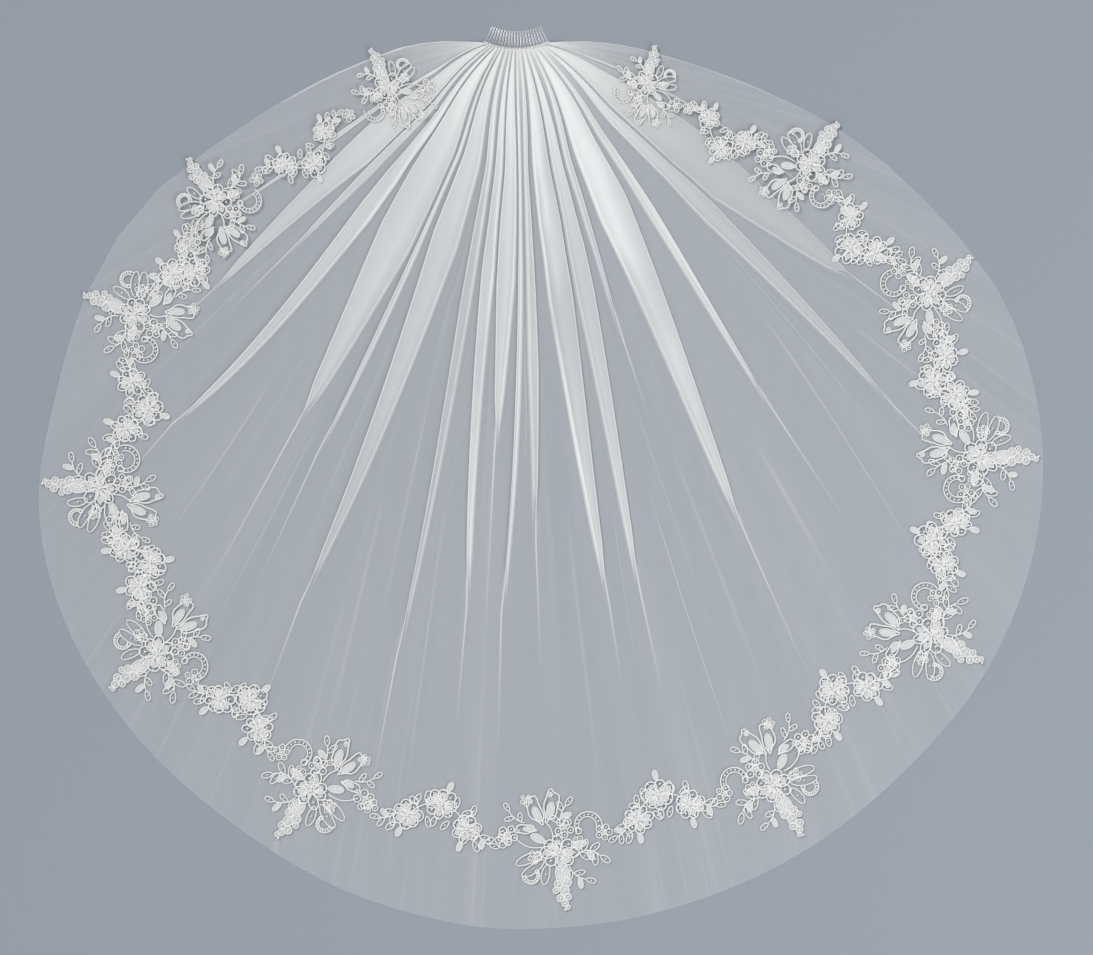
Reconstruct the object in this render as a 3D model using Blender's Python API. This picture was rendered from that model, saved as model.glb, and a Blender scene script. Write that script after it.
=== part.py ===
"""Bridal veil laid flat on a surface, comb at the top.

One panel of net is pleated onto a wire comb and spread out like a fan. Its pleats lie pressed
down, three layers deep, and taper out before the edge. Lace sprays and garlands are sewn on along
the edge. All sizes are millimetres until a mesh is made. X is across, Y points from the hem to the
comb, Z is up, and the origin is under the middle of the whole.
"""
import math
from collections import namedtuple

import bmesh
import bpy
import numpy as np
from mathutils import Matrix, Vector

MM = 0.001

# Cloth
WALL = 1.0
SEAM_GAP = 0.3
LAYER_STEP = WALL + SEAM_GAP
PRESSED_PLEAT_HEIGHT = 2 * LAYER_STEP + WALL

# Comb: an arc that sags towards the hem, with its teeth on the other side
COMB_MIDDLE = Vector((-30.6, 533.5))
COMB_CHORD = 85.0
COMB_SAG = 10.0
COMB_RADIUS = COMB_CHORD ** 2 / (8 * COMB_SAG) + COMB_SAG / 2
COMB_HALF_ANGLE = math.asin(COMB_CHORD / 2 / COMB_RADIUS)
TOOTH_COUNT = 20
TOOTH_LENGTH = 24.0
TOOTH_WIRE = 1.1
TOOTH_LEG_SPREAD = 1.5
SPINE_WIRE = 1.8
SPINE_HEIGHT = TOOTH_WIRE + SEAM_GAP + SPINE_WIRE

# Spread of the cloth: bearings are degrees from straight down the veil, positive to the right
FAN_CENTRE = COMB_MIDDLE + Vector((0.0, 3.0))
FAN_HALF_ANGLE = 98.0
HEADING_OVERLAP = 1.2
HEADING_LIFT = SPINE_HEIGHT + SEAM_GAP
LIFT_LENGTH = 24.0
PLEATS_SPREAD_BY = 0.15

HemRow = namedtuple("HemRow", "bearing reach")
HEM = [
    HemRow(-98.0, 62.0),
    HemRow(-95.3, 95.0),
    HemRow(-90.5, 145.0),
    HemRow(-85.5, 189.0),
    HemRow(-78.0, 289.0),
    HemRow(-73.0, 380.0),
    HemRow(-68.0, 493.0),
    HemRow(-62.2, 590.0),
    HemRow(-53.0, 721.0),
    HemRow(-46.6, 822.0),
    HemRow(-38.7, 908.0),
    HemRow(-29.0, 982.0),
    HemRow(-20.3, 1031.0),
    HemRow(-11.8, 1073.0),
    HemRow(-3.7, 1097.0),
    HemRow(0.9, 1101.0),
    HemRow(9.5, 1094.0),
    HemRow(19.4, 1067.0),
    HemRow(28.3, 1025.0),
    HemRow(36.9, 976.0),
    HemRow(46.2, 898.0),
    HemRow(54.6, 803.0),
    HemRow(63.0, 679.0),
    HemRow(69.2, 553.0),
    HemRow(75.8, 418.0),
    HemRow(80.5, 309.0),
    HemRow(85.8, 206.0),
    HemRow(94.1, 105.0),
    HemRow(98.0, 62.0),
]

# Pleats: bearings below the comb, half way and at the tip; width where widest; peak and tip are
# shares of the way from the comb to the hem
Pleat = namedtuple("Pleat", "name top_bearing middle_bearing tip_bearing width peak tip")
PLEATS = [
    Pleat("left_outer_crease", -72.0, -62.5, -60.0, 8.0, 0.37, 0.64),
    Pleat("left_outer_band", -57.5, -53.5, -50.5, 60.0, 0.24, 0.64),
    Pleat("left_slim_a", -48.0, -47.0, -46.5, 13.0, 0.24, 0.46),
    Pleat("left_long_a", -43.5, -40.0, -42.0, 22.0, 0.30, 0.72),
    Pleat("left_wide_wedge", -34.5, -30.5, -29.5, 60.0, 0.20, 0.56),
    Pleat("left_soft_crease", -24.5, -24.5, -25.5, 4.0, 0.37, 0.56),
    Pleat("left_long_b", -18.5, -19.0, -21.0, 33.0, 0.24, 0.72),
    Pleat("left_slim_b", -12.0, -10.5, -11.0, 11.0, 0.30, 0.72),
    Pleat("left_slim_c", -7.5, -6.6, -5.0, 14.0, 0.24, 0.64),
    Pleat("centre_left_wedge", -2.4, -2.6, -3.0, 25.0, 0.20, 0.46),
    Pleat("centre_crease", 1.2, 0.4, -1.5, 3.0, 0.40, 0.64),
    Pleat("centre_soft_band", 4.6, 3.4, 2.2, 10.0, 0.36, 0.56),
    Pleat("right_long_a", 10.8, 9.5, 9.3, 33.0, 0.20, 0.64),
    Pleat("right_long_b", 18.3, 14.5, 12.6, 23.0, 0.24, 0.64),
    Pleat("right_short_crease", 23.5, 20.5, 19.0, 7.0, 0.15, 0.36),
    Pleat("right_wedge", 32.5, 27.2, 24.8, 41.0, 0.22, 0.64),
    Pleat("right_slim", 41.5, 36.5, 34.5, 10.0, 0.26, 0.56),
    Pleat("right_long_c", 47.5, 47.3, 46.0, 28.0, 0.30, 0.72),
    Pleat("right_outer_band", 63.5, 57.0, 55.0, 100.0, 0.26, 0.64),
    Pleat("right_outer_crease", 80.0, 72.0, 63.5, 7.0, 0.37, 0.56),
]
PLEAT_WIDTH_AT_COMB = 0.4
PLEAT_WIDTH_AT_TIP = -0.12
PLEAT_OPENED_STEP = 0.8
CENTRE_PART = 0.6
PLEAT_SHOULDER = 1.2
PLEAT_GROWTH_POWER = 0.85
PLEAT_TAPER_POWER = 0.8
PLEAT_SLOPE_AT_COMB = 1.4
PLEAT_SLOPE = 4.5
PLEAT_CLEARANCE = 0.35
RINGS = [0.0, 0.02, 0.05, 0.10, 0.17, 0.26, 0.36, 0.46, 0.56, 0.64, 0.72, 0.80, 1.0]
PLAIN_SIDE_COLUMNS = 7
PLEAT_STATIONS = 7
RING_SAMPLES = 393

# Lace: sprays by the bearing of the hem beside them and their distance in from it
LACE_THICKNESS = 1.0
LACE_BASE = WALL + SEAM_GAP
LACE_BASE_OVER_PLEATS = PRESSED_PLEAT_HEIGHT + SEAM_GAP
Spray = namedtuple("Spray", "bearing inset scale over_pleats")
SPRAYS = [
    Spray(-87.0, 46.0, 0.72, True),
    Spray(-70.5, 62.0, 0.86, True),
    Spray(-60.5, 71.0, 0.95, False),
    Spray(-47.4, 82.0, 1.00, False),
    Spray(-33.0, 88.0, 1.00, False),
    Spray(-16.8, 96.0, 1.00, False),
    Spray(3.0, 100.0, 1.00, False),
    Spray(20.5, 96.0, 1.00, False),
    Spray(37.1, 88.0, 1.00, False),
    Spray(52.5, 84.0, 1.00, False),
    Spray(65.4, 78.0, 0.95, False),
    Spray(76.4, 62.0, 0.86, True),
    Spray(88.0, 44.0, 0.66, True),
]
PETAL_COUNT = 5
BLOOM_PETAL = (14.0, 9.5)
BLOOM_PETAL_REACH = 15.0
BLOOM_HEART = 7.0
BLOOM_HOLE = (6.5, 4.0)
BLOOM_HOLE_REACH = 17.0
Leaf = namedtuple("Leaf", "heading root length width hole")
LEAVES = [
    Leaf(90.0, 16.0, 52.0, 17.0, 26.0),
    Leaf(38.0, 20.0, 40.0, 13.0, 19.0),
    Leaf(146.0, 20.0, 42.0, 13.0, 19.0),
    Leaf(-20.0, 18.0, 38.0, 12.0, 0.0),
    Leaf(198.0, 18.0, 38.0, 12.0, 0.0),
    Leaf(-92.0, 16.0, 38.0, 13.0, 17.0),
]
FLOWERS_PER_GARLAND = 3
GARLAND_FLOWER = (19.8, 12.5)
GARLAND_HOLE = 4.6
GARLAND_SWAY = 24.0
GARLAND_STEM = 3.5
GARLAND_INSET_SHARE = 1.2
GARLANDS_OVER_PLEATS = (1, 12)

Finish = namedtuple("Finish", "name colour roughness metallic alpha")
NET = Finish("ivory_net", (0.90, 0.90, 0.88, 1.0), 0.75, 0.0, 0.6)
LACE = Finish("corded_lace", (0.94, 0.93, 0.90, 1.0), 0.65, 0.0, 1.0)
STEEL = Finish("comb_wire", (0.72, 0.73, 0.75, 1.0), 0.28, 1.0, 1.0)


def clear_scene():
    """Remove what the file opened with."""
    for thing in list(bpy.data.objects):
        bpy.data.objects.remove(thing, do_unlink=True)


def make_collection(name):
    """A new collection under the scene's own."""
    collection = bpy.data.collections.new(name)
    bpy.context.scene.collection.children.link(collection)
    return collection


def make_material(finish):
    """A Principled material with the finish's colour, roughness and metallic value."""
    material = bpy.data.materials.new(finish.name)
    material.use_nodes = True
    shader = material.node_tree.nodes["Principled BSDF"]
    shader.inputs["Base Color"].default_value = finish.colour
    shader.inputs["Roughness"].default_value = finish.roughness
    shader.inputs["Metallic"].default_value = finish.metallic
    shader.inputs["Alpha"].default_value = finish.alpha
    return material


def place_object(name, mesh, collection, material):
    """An object that holds the mesh, with its material."""
    placed = bpy.data.objects.new(name, mesh)
    collection.objects.link(placed)
    if material is not None and not mesh.materials:
        mesh.materials.append(material)
    return placed


def mesh_from_bmesh(name, working):
    """Finish a bmesh in millimetres as a mesh in metres, its faces pointing out."""
    bmesh.ops.scale(working, vec=(MM, MM, MM), verts=working.verts)
    bmesh.ops.recalc_face_normals(working, faces=working.faces)
    mesh = bpy.data.meshes.new(name)
    working.to_mesh(mesh)
    working.free()
    return mesh


def smoothstep(value):
    """Ease from 0 to 1 for values from 0 to 1."""
    clipped = min(max(value, 0.0), 1.0)
    return clipped * clipped * (3.0 - 2.0 * clipped)


def three_point_bend(start, middle, end, share):
    """A parabola through three values at shares 0, one half and 1."""
    first = 2.0 * (share - 0.5) * (share - 1.0)
    second = -4.0 * share * (share - 1.0)
    third = 2.0 * share * (share - 0.5)
    return first * start + second * middle + third * end


def hem_reach(bearing):
    """Distance from the fan's centre to the hem at a bearing, on a smooth curve through the table."""
    rows = HEM
    index = 0
    while index < len(rows) - 2 and bearing > rows[index + 1].bearing:
        index += 1
    here, after = rows[index], rows[index + 1]
    before = rows[max(index - 1, 0)]
    beyond = rows[min(index + 2, len(rows) - 1)]
    step = after.bearing - here.bearing
    share = min(max((bearing - here.bearing) / step, 0.0), 1.0)
    slope_here = (after.reach - before.reach) / max(after.bearing - before.bearing, 1e-6) * step
    slope_after = (beyond.reach - here.reach) / max(beyond.bearing - here.bearing, 1e-6) * step
    square, cube = share ** 2, share ** 3
    return ((2 * cube - 3 * square + 1) * here.reach + (cube - 2 * square + share) * slope_here
            + (3 * square - 2 * cube) * after.reach + (cube - square) * slope_after)


def hem_point(bearing):
    """The hem in plan at a bearing."""
    angle = math.radians(bearing)
    return FAN_CENTRE + hem_reach(bearing) * Vector((math.sin(angle), -math.cos(angle)))


def comb_point(share, outwards=0.0):
    """The comb's line in plan, share -1 to 1 from end to end, moved out towards the teeth."""
    angle = share * COMB_HALF_ANGLE
    centre = COMB_MIDDLE + Vector((0.0, COMB_RADIUS))
    return centre + (COMB_RADIUS - outwards) * Vector((math.sin(angle), -math.cos(angle)))


def heading_point(bearing):
    """The gathered edge in plan: half an oval that lies on the comb and turns up at its ends."""
    angle = math.radians(90.0 * bearing / FAN_HALF_ANGLE)
    end_height = COMB_MIDDLE.y + COMB_SAG
    depth = COMB_SAG - HEADING_OVERLAP
    return Vector((COMB_MIDDLE.x + COMB_CHORD / 2 * math.sin(angle),
                   end_height - depth * math.cos(angle)))


def net_point(bearing, share):
    """A point of the spread net in plan: share 0 on the comb, 1 on the hem."""
    return heading_point(bearing).lerp(hem_point(bearing), share)


def net_lift(bearing, share):
    """How far the net is carried over the comb's spine before it reaches the surface."""
    distance = (net_point(bearing, share) - heading_point(bearing)).length
    return HEADING_LIFT * max(1.0 - distance / LIFT_LENGTH, 0.0)


def leans_left(index):
    """Pleats turn outwards on both sides of the middle."""
    return index < len(PLEATS) / 2


def even_bearings():
    """Bearings that space the pleats evenly along the gathered edge, parted in the middle."""
    bearings = np.linspace(-FAN_HALF_ANGLE, FAN_HALF_ANGLE, RING_SAMPLES).tolist()
    points = np.array([heading_point(bearing)[:] for bearing in bearings])
    run = np.concatenate(([0.0], np.cumsum(np.hypot(*np.diff(points, axis=0).T))))
    pitch = run[-1] / (len(PLEATS) + CENTRE_PART)
    places = [(index + 0.5 + (0.0 if leans_left(index) else CENTRE_PART)) * pitch
              for index in range(len(PLEATS))]
    return [float(np.interp(place, run, bearings)) for place in places]


EVEN_BEARINGS = even_bearings()


def pleat_bearing(index, share):
    """Bearing of a pleat's middle: even along the comb, then on its own ray."""
    pleat = PLEATS[index]
    even = EVEN_BEARINGS[index]
    ray = three_point_bend(pleat.top_bearing, pleat.middle_bearing, pleat.tip_bearing,
                           min(share / pleat.tip, 1.0))
    return even + (ray - even) * smoothstep(share / PLEATS_SPREAD_BY)


def pleat_width(pleat, share):
    """Width that a pleat's layers overlap: grows to its peak, then tapers to its tip."""
    if share <= pleat.peak:
        growth = (share / pleat.peak) ** PLEAT_GROWTH_POWER
        return PLEAT_WIDTH_AT_COMB + (pleat.width - PLEAT_WIDTH_AT_COMB) * growth
    taper = max((pleat.tip - share) / (pleat.tip - pleat.peak), 0.0) ** PLEAT_TAPER_POWER
    return PLEAT_WIDTH_AT_TIP + (pleat.width - PLEAT_WIDTH_AT_TIP) * taper


class Ring:
    """One section across the net at a share of the way from the comb to the hem."""

    def __init__(self, share):
        self.share = share
        self.bearings = np.linspace(-FAN_HALF_ANGLE, FAN_HALF_ANGLE, RING_SAMPLES).tolist()
        points = np.array([net_point(bearing, share)[:] for bearing in self.bearings])
        steps = np.hypot(*np.diff(points, axis=0).T)
        self.run = np.concatenate(([0.0], np.cumsum(steps)))

    def run_at(self, bearing):
        """Length along the ring from its left end."""
        return float(np.interp(bearing, self.bearings, self.run))

    def bearing_at(self, run):
        """Bearing at a length along the ring."""
        return float(np.interp(run, self.run, self.bearings))

    def pleat_middles(self):
        """Length along the ring of each pleat's middle."""
        return [self.run_at(pleat_bearing(index, self.share)) for index in range(len(PLEATS))]

    def slope_length(self):
        """Length over which a pleat's top layer comes down again."""
        ease = smoothstep(self.share / PLEATS_SPREAD_BY)
        return PLEAT_SLOPE_AT_COMB + (PLEAT_SLOPE - PLEAT_SLOPE_AT_COMB) * ease

    def pleat_widths(self, middles):
        """Each pleat's width here, narrowed where its neighbours leave less room."""
        widths = [pleat_width(pleat, self.share) for pleat in PLEATS]
        steep_side = PLEAT_SHOULDER
        slope_side = WALL / 2 + SEAM_GAP + self.slope_length()
        factors = [1.0] * len(widths)
        for index in range(len(widths) - 1):
            margin = slope_side if leans_left(index) else steep_side
            margin += steep_side if leans_left(index + 1) else slope_side
            room = middles[index + 1] - middles[index] - margin - PLEAT_CLEARANCE
            wanted = max((widths[index] + widths[index + 1]) / 2, 0.1)
            factor = min(1.0, max(room, 0.1) / wanted)
            factors[index] = min(factors[index], factor)
            factors[index + 1] = min(factors[index + 1], factor)
        return [width * factor for width, factor in zip(widths, factors)]

    def pleat_section(self, width, to_left, is_flat):
        """Seven stations of a pleat: offset along the ring, height below, then the same above.

        The lower layer runs in, the middle layer runs back over it and the top layer runs out
        again, so three layers lie on each other between the two folded edges.
        """
        half, rim = width / 2, WALL / 2
        left_end = -half - PLEAT_SHOULDER
        top_end = half + rim + SEAM_GAP
        right_end = top_end + self.slope_length()
        low, middle, high = 0.0, LAYER_STEP, 2 * LAYER_STEP
        stations = [
            ((left_end, low), (left_end, low + WALL)),
            ((half + rim, low), (half - rim, low + WALL)),
            ((half + rim, middle + WALL), (half - rim, middle)),
            ((-half + rim, middle + WALL), (-half - rim, middle)),
            ((-half + rim, high), (-half - rim, high + WALL)),
            ((top_end, high), (top_end, high + WALL)),
            ((right_end, low), (right_end, low + WALL)),
        ]
        if is_flat:
            inner = [step * PLEAT_OPENED_STEP for step in range(len(stations) - 2)]
            stations = ([stations[0]]
                        + [((offset + rim, low), (offset - rim, low + WALL)) for offset in inner]
                        + [stations[-1]])
        if to_left:
            return stations
        return [tuple((-offset, height) for offset, height in station)
                for station in reversed(stations)]

    def stations(self):
        """All stations across the ring: (length, height) below and above the wall.

        On the hem itself they are evenly spaced, which keeps its outline round.
        """
        middles = self.pleat_middles()
        widths = self.pleat_widths(middles)
        across = []
        for index, pleat in enumerate(PLEATS):
            section = self.pleat_section(widths[index], leans_left(index), self.share > pleat.tip)
            across.append([tuple((middles[index] + offset, height) for offset, height in station)
                           for station in section])
        joined = self.plain_stations(0.0, across[0][0][0][0])
        for section in across:
            joined.extend(section)
        end = self.plain_stations(self.run[-1], across[-1][-1][0][0])
        joined.extend(reversed(end))
        if self.share < 1.0:
            return joined
        first, last = PLAIN_SIDE_COLUMNS, len(joined) - PLAIN_SIDE_COLUMNS - 1
        spaced = np.linspace(joined[first][0][0], joined[last][0][0], last - first + 1).tolist()
        return (joined[:first] + [((length, 0.0), (length, WALL)) for length in spaced]
                + joined[last + 1:])

    @staticmethod
    def plain_stations(outer, inner):
        """Single-layer stations from the net's side edge towards the first pleat."""
        lengths = [outer + (inner - outer) * step / PLAIN_SIDE_COLUMNS
                   for step in range(PLAIN_SIDE_COLUMNS)]
        return [((length, 0.0), (length, WALL)) for length in lengths]

    def world(self, station_point):
        """A (length, height) pair of this ring as a point in space."""
        length, height = station_point
        bearing = self.bearing_at(length)
        plan = net_point(bearing, self.share)
        return (plan.x, plan.y, height + net_lift(bearing, self.share))


def runs_back(column):
    """Whether a column of the net is the middle layer of a pleat, which runs back."""
    pleat, station = divmod(column - PLAIN_SIDE_COLUMNS, PLEAT_STATIONS)
    if not 0 <= pleat < len(PLEATS):
        return False
    return station == (2 if leans_left(pleat) else 3)


def build_net(collection, material):
    """The gathered panel: a wall lofted ring by ring from the comb to the hem."""
    working = bmesh.new()
    below, above = [], []
    for share in RINGS:
        ring = Ring(share)
        stations = ring.stations()
        below.append([working.verts.new(ring.world(station[0])) for station in stations])
        above.append([working.verts.new(ring.world(station[1])) for station in stations])
    rows, columns = len(below), len(below[0])
    for row in range(rows - 1):
        for column in range(columns - 1):
            for layer in (below, above):
                corners = [layer[row][column], layer[row][column + 1],
                           layer[row + 1][column + 1], layer[row + 1][column]]
                if runs_back(column):
                    corners = corners[1:] + corners[:1]
                working.faces.new(corners)
        for column in (0, columns - 1):
            working.faces.new((below[row][column], above[row][column],
                               above[row + 1][column], below[row + 1][column]))
    for row in (0, rows - 1):
        for column in range(columns - 1):
            working.faces.new((below[row][column], below[row][column + 1],
                               above[row][column + 1], above[row][column]))
    bmesh.ops.triangulate(working, faces=working.faces, quad_method="FIXED")
    return place_object("tulle", mesh_from_bmesh("tulle", working), collection, material)


def tube_mesh(name, points, diameter, sides_resolution):
    """A wire along the points, its caps filled and welded, as a mesh."""
    curve = bpy.data.curves.new(name, "CURVE")
    curve.dimensions = "3D"
    curve.bevel_depth = diameter / 2 * MM
    curve.bevel_resolution = sides_resolution
    curve.use_fill_caps = True
    spline = curve.splines.new("POLY")
    spline.points.add(len(points) - 1)
    for spot, point in zip(spline.points, points):
        spot.co = (point[0] * MM, point[1] * MM, point[2] * MM, 1.0)
    holder = bpy.data.objects.new(name + "_path", curve)
    bpy.context.scene.collection.objects.link(holder)
    bpy.context.view_layer.update()
    graph = bpy.context.evaluated_depsgraph_get()
    mesh = bpy.data.meshes.new_from_object(holder.evaluated_get(graph))
    mesh.name = name
    bpy.data.objects.remove(holder, do_unlink=True)
    working = bmesh.new()
    working.from_mesh(mesh)
    bmesh.ops.remove_doubles(working, verts=working.verts, dist=1e-6)
    bmesh.ops.recalc_face_normals(working, faces=working.faces)
    working.to_mesh(mesh)
    working.free()
    mesh.materials.clear()
    return mesh


def comb_teeth_path():
    """One wire bent back and forth: up a leg, round the tip, down the other and on to the next."""
    height = TOOTH_WIRE / 2
    leg_share = TOOTH_LEG_SPREAD / COMB_CHORD
    bend = TOOTH_LEG_SPREAD / 2
    path = []
    for tooth in range(TOOTH_COUNT):
        middle = (2.0 * (tooth + 0.5) / TOOTH_COUNT - 1.0) * (1.0 - leg_share)
        for side, outwards in ((-1, 0.0), (-1, TOOTH_LENGTH - bend), (0, TOOTH_LENGTH),
                               (1, TOOTH_LENGTH - bend), (1, 0.0)):
            spot = comb_point(middle + side * leg_share, outwards)
            path.append((spot.x, spot.y, height))
    return path


def build_comb(collection, material):
    """The comb's bent wire and the bar that its lower bends are bound to."""
    teeth = tube_mesh("comb_teeth", comb_teeth_path(), TOOTH_WIRE, 1)
    place_object("comb_teeth", teeth, collection, material)
    spine_points = []
    for step in range(13):
        spot = comb_point(step / 6.0 - 1.0, 0.0)
        spine_points.append((spot.x, spot.y, TOOTH_WIRE + SEAM_GAP + SPINE_WIRE / 2))
    spine = tube_mesh("comb_spine", spine_points, SPINE_WIRE, 2)
    place_object("comb_spine", spine, collection, material)


def prism(working, outline, bottom, top):
    """Add a flat plate with this outline to the bmesh."""
    face = working.faces.new([working.verts.new((x, y, bottom)) for x, y in outline])
    raised = bmesh.ops.extrude_face_region(working, geom=[face])
    moved = [item for item in raised["geom"] if isinstance(item, bmesh.types.BMVert)]
    bmesh.ops.translate(working, verts=moved, vec=(0.0, 0.0, top - bottom))


def oval(centre, heading, half_length, half_width, count):
    """Points of an oval with its long axis along a heading in degrees."""
    turn = math.radians(heading)
    along = Vector((math.cos(turn), math.sin(turn)))
    aside = Vector((-along.y, along.x))
    spots = []
    for step in range(count):
        angle = 2.0 * math.pi * (step + 0.5) / count
        spots.append(centre + along * half_length * math.cos(angle)
                     + aside * half_width * math.sin(angle))
    return [(spot.x, spot.y) for spot in spots]


def leaf_outline(leaf, root, length, width):
    """A pointed leaf that starts at its root and runs along its heading."""
    turn = math.radians(leaf.heading)
    along = Vector((math.cos(turn), math.sin(turn)))
    aside = Vector((-along.y, along.x))
    shape = [(0.0, 0.25), (0.45, 0.5), (1.0, 0.0)]
    left = [along * (root + length * far) + aside * width * wide for far, wide in shape]
    right = [along * (root + length * far) - aside * width * wide for far, wide in shape[:-1]]
    return [(spot.x, spot.y) for spot in left + right[::-1]]


def plate_object(name, outlines, bottom, top, collection):
    """A working object of separate plates."""
    working = bmesh.new()
    for outline in outlines:
        prism(working, outline, bottom, top)
    plates = place_object(name, mesh_from_bmesh(name, working), collection, None)
    plates.hide_render = True
    plates.display_type = "WIRE"
    return plates


def fuse_plates(name, outlines, holes, cutters):
    """One plate that joins the outlines and is pierced by the holes, as a mesh."""
    base = plate_object(name + "_base", outlines[:1], 0.0, LACE_THICKNESS, cutters)
    for number, outline in enumerate(outlines[1:]):
        joined = plate_object(f"{name}_joined_{number}", [outline], 0.0, LACE_THICKNESS, cutters)
        union = base.modifiers.new(f"join_{number}", "BOOLEAN")
        union.operation = "UNION"
        union.object = joined
    pierced = plate_object(name + "_holes", holes, -LACE_THICKNESS, 2 * LACE_THICKNESS, cutters)
    cut = base.modifiers.new("pierce", "BOOLEAN")
    cut.operation = "DIFFERENCE"
    cut.object = pierced
    bpy.context.view_layer.update()
    graph = bpy.context.evaluated_depsgraph_get()
    mesh = bpy.data.meshes.new_from_object(base.evaluated_get(graph))
    mesh.name = name
    working = bmesh.new()
    working.from_mesh(mesh)
    bmesh.ops.remove_doubles(working, verts=working.verts, dist=1e-6)
    bmesh.ops.dissolve_limit(working, angle_limit=math.radians(0.5), verts=working.verts,
                             edges=working.edges)
    bmesh.ops.triangulate(working, faces=working.faces)
    working.to_mesh(mesh)
    working.free()
    mesh.materials.clear()
    return mesh


def spray_outlines():
    """The plates and holes of one spray: a five-petal bloom with six pointed leaves round it."""
    plates = [oval(Vector((0.0, 0.0)), 0.0, BLOOM_HEART, BLOOM_HEART, 6)]
    holes = []
    for petal in range(PETAL_COUNT):
        heading = 90.0 + 36.0 + 72.0 * petal
        turn = math.radians(heading)
        along = Vector((math.cos(turn), math.sin(turn)))
        plates.append(oval(along * BLOOM_PETAL_REACH, heading, *BLOOM_PETAL, 6))
        holes.append(oval(along * BLOOM_HOLE_REACH, heading, *BLOOM_HOLE, 4))
    for leaf in LEAVES:
        plates.append(leaf_outline(leaf, leaf.root, leaf.length, leaf.width))
        if leaf.hole:
            start = leaf.root + (leaf.length - leaf.hole) / 2
            turn = math.radians(leaf.heading)
            middle = Vector((math.cos(turn), math.sin(turn))) * (start + leaf.hole / 2)
            holes.append(oval(middle, leaf.heading, leaf.hole / 2, leaf.width * 0.24, 4))
    return plates, holes


def hem_frame(bearing, inset):
    """A point in from the hem and the outward direction there."""
    step = 0.5
    before, after = hem_point(bearing - step), hem_point(bearing + step)
    along = (after - before).normalized()
    outward = Vector((along.y, -along.x))
    return hem_point(bearing) - outward * inset, outward


def lace_height(over_pleats):
    """Underside of a lace piece, on the single net or on the pleats beside the comb."""
    return LACE_BASE_OVER_PLEATS if over_pleats else LACE_BASE


def build_sprays(collection, cutters, material):
    """The flower sprays, each a copy of one plate, tips outwards along the hem."""
    plates, holes = spray_outlines()
    mesh = fuse_plates("lace_spray", plates, holes, cutters)
    for number, spray in enumerate(SPRAYS, start=1):
        spot, outward = hem_frame(spray.bearing, spray.inset)
        own_mesh = mesh.copy()
        own_mesh.transform(Matrix.Diagonal((spray.scale, spray.scale, 1.0, 1.0)))
        placed = place_object(f"lace_spray_{number:02d}", own_mesh, collection, material)
        placed.location = (spot.x * MM, spot.y * MM, lace_height(spray.over_pleats) * MM)
        placed.rotation_euler = (0.0, 0.0, math.atan2(outward.y, outward.x) - math.pi / 2)


def hem_length_table():
    """Length along the hem at each whole bearing step, for even spacing."""
    bearings = np.linspace(-FAN_HALF_ANGLE, FAN_HALF_ANGLE, RING_SAMPLES).tolist()
    points = np.array([hem_point(bearing)[:] for bearing in bearings])
    lengths = np.concatenate(([0.0], np.cumsum(np.hypot(*np.diff(points, axis=0).T))))
    return bearings, lengths


def garland_flowers(index, bearings, lengths):
    """Centres and sizes of the flowers between two neighbouring sprays."""
    first, last = SPRAYS[index], SPRAYS[index + 1]
    start = np.interp(first.bearing, bearings, lengths)
    end = np.interp(last.bearing, bearings, lengths)
    flowers = []
    for flower in range(FLOWERS_PER_GARLAND):
        share = (flower + 1.0) / (FLOWERS_PER_GARLAND + 1.0)
        bearing = float(np.interp(start + (end - start) * (0.26 + 0.48 * share), lengths, bearings))
        inset = first.inset + (last.inset - first.inset) * share
        sway = GARLAND_SWAY if flower % 2 else 0.0
        scale = first.scale + (last.scale - first.scale) * share
        spot, outward = hem_frame(bearing, inset * GARLAND_INSET_SHARE + sway)
        flowers.append((spot, outward, scale))
    return flowers


def star_outline(centre, outward, outer, inner):
    """A flower with five blunt petals."""
    spots = []
    start = math.atan2(outward.y, outward.x)
    for petal in range(PETAL_COUNT):
        for offset, radius in ((0.0, outer), (0.5, inner)):
            angle = start + 2.0 * math.pi * (petal + offset) / PETAL_COUNT
            spots.append((centre.x + radius * math.cos(angle), centre.y + radius * math.sin(angle)))
    return spots


def stem_outline(start, end, width):
    """A straight strip of cord between two flowers."""
    along = (end - start).normalized()
    aside = Vector((-along.y, along.x)) * width / 2
    corners = (start + aside, start - aside, end - aside, end + aside)
    return [(corner.x, corner.y) for corner in corners]


def build_garlands(collection, cutters, material):
    """The strings of three flowers between the sprays."""
    bearings, lengths = hem_length_table()
    for index in range(len(SPRAYS) - 1):
        flowers = garland_flowers(index, bearings, lengths)
        plates, holes = [], []
        for spot, outward, scale in flowers:
            outer, inner = (size * scale for size in GARLAND_FLOWER)
            plates.append(star_outline(spot, outward, outer, inner))
            holes.append(oval(spot, 0.0, GARLAND_HOLE * scale, GARLAND_HOLE * scale, 5))
        for (start, _, _), (end, _, _) in zip(flowers, flowers[1:]):
            inset = (end - start).normalized() * GARLAND_FLOWER[1] * 0.7
            plates.append(stem_outline(start + inset, end - inset, GARLAND_STEM))
        name = f"lace_garland_{index + 1:02d}"
        mesh = fuse_plates(name, plates, holes, cutters)
        placed = place_object(name, mesh, collection, material)
        base = lace_height(index + 1 in GARLANDS_OVER_PLEATS)
        placed.location = (0.0, 0.0, base * MM)


def main():
    """Build the veil."""
    clear_scene()
    parts = make_collection("bridal_veil")
    cutters = make_collection("cutters")
    net, lace, steel = (make_material(finish) for finish in (NET, LACE, STEEL))
    build_net(parts, net)
    build_comb(parts, steel)
    build_sprays(parts, cutters, lace)
    build_garlands(parts, cutters, lace)


main()
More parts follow.
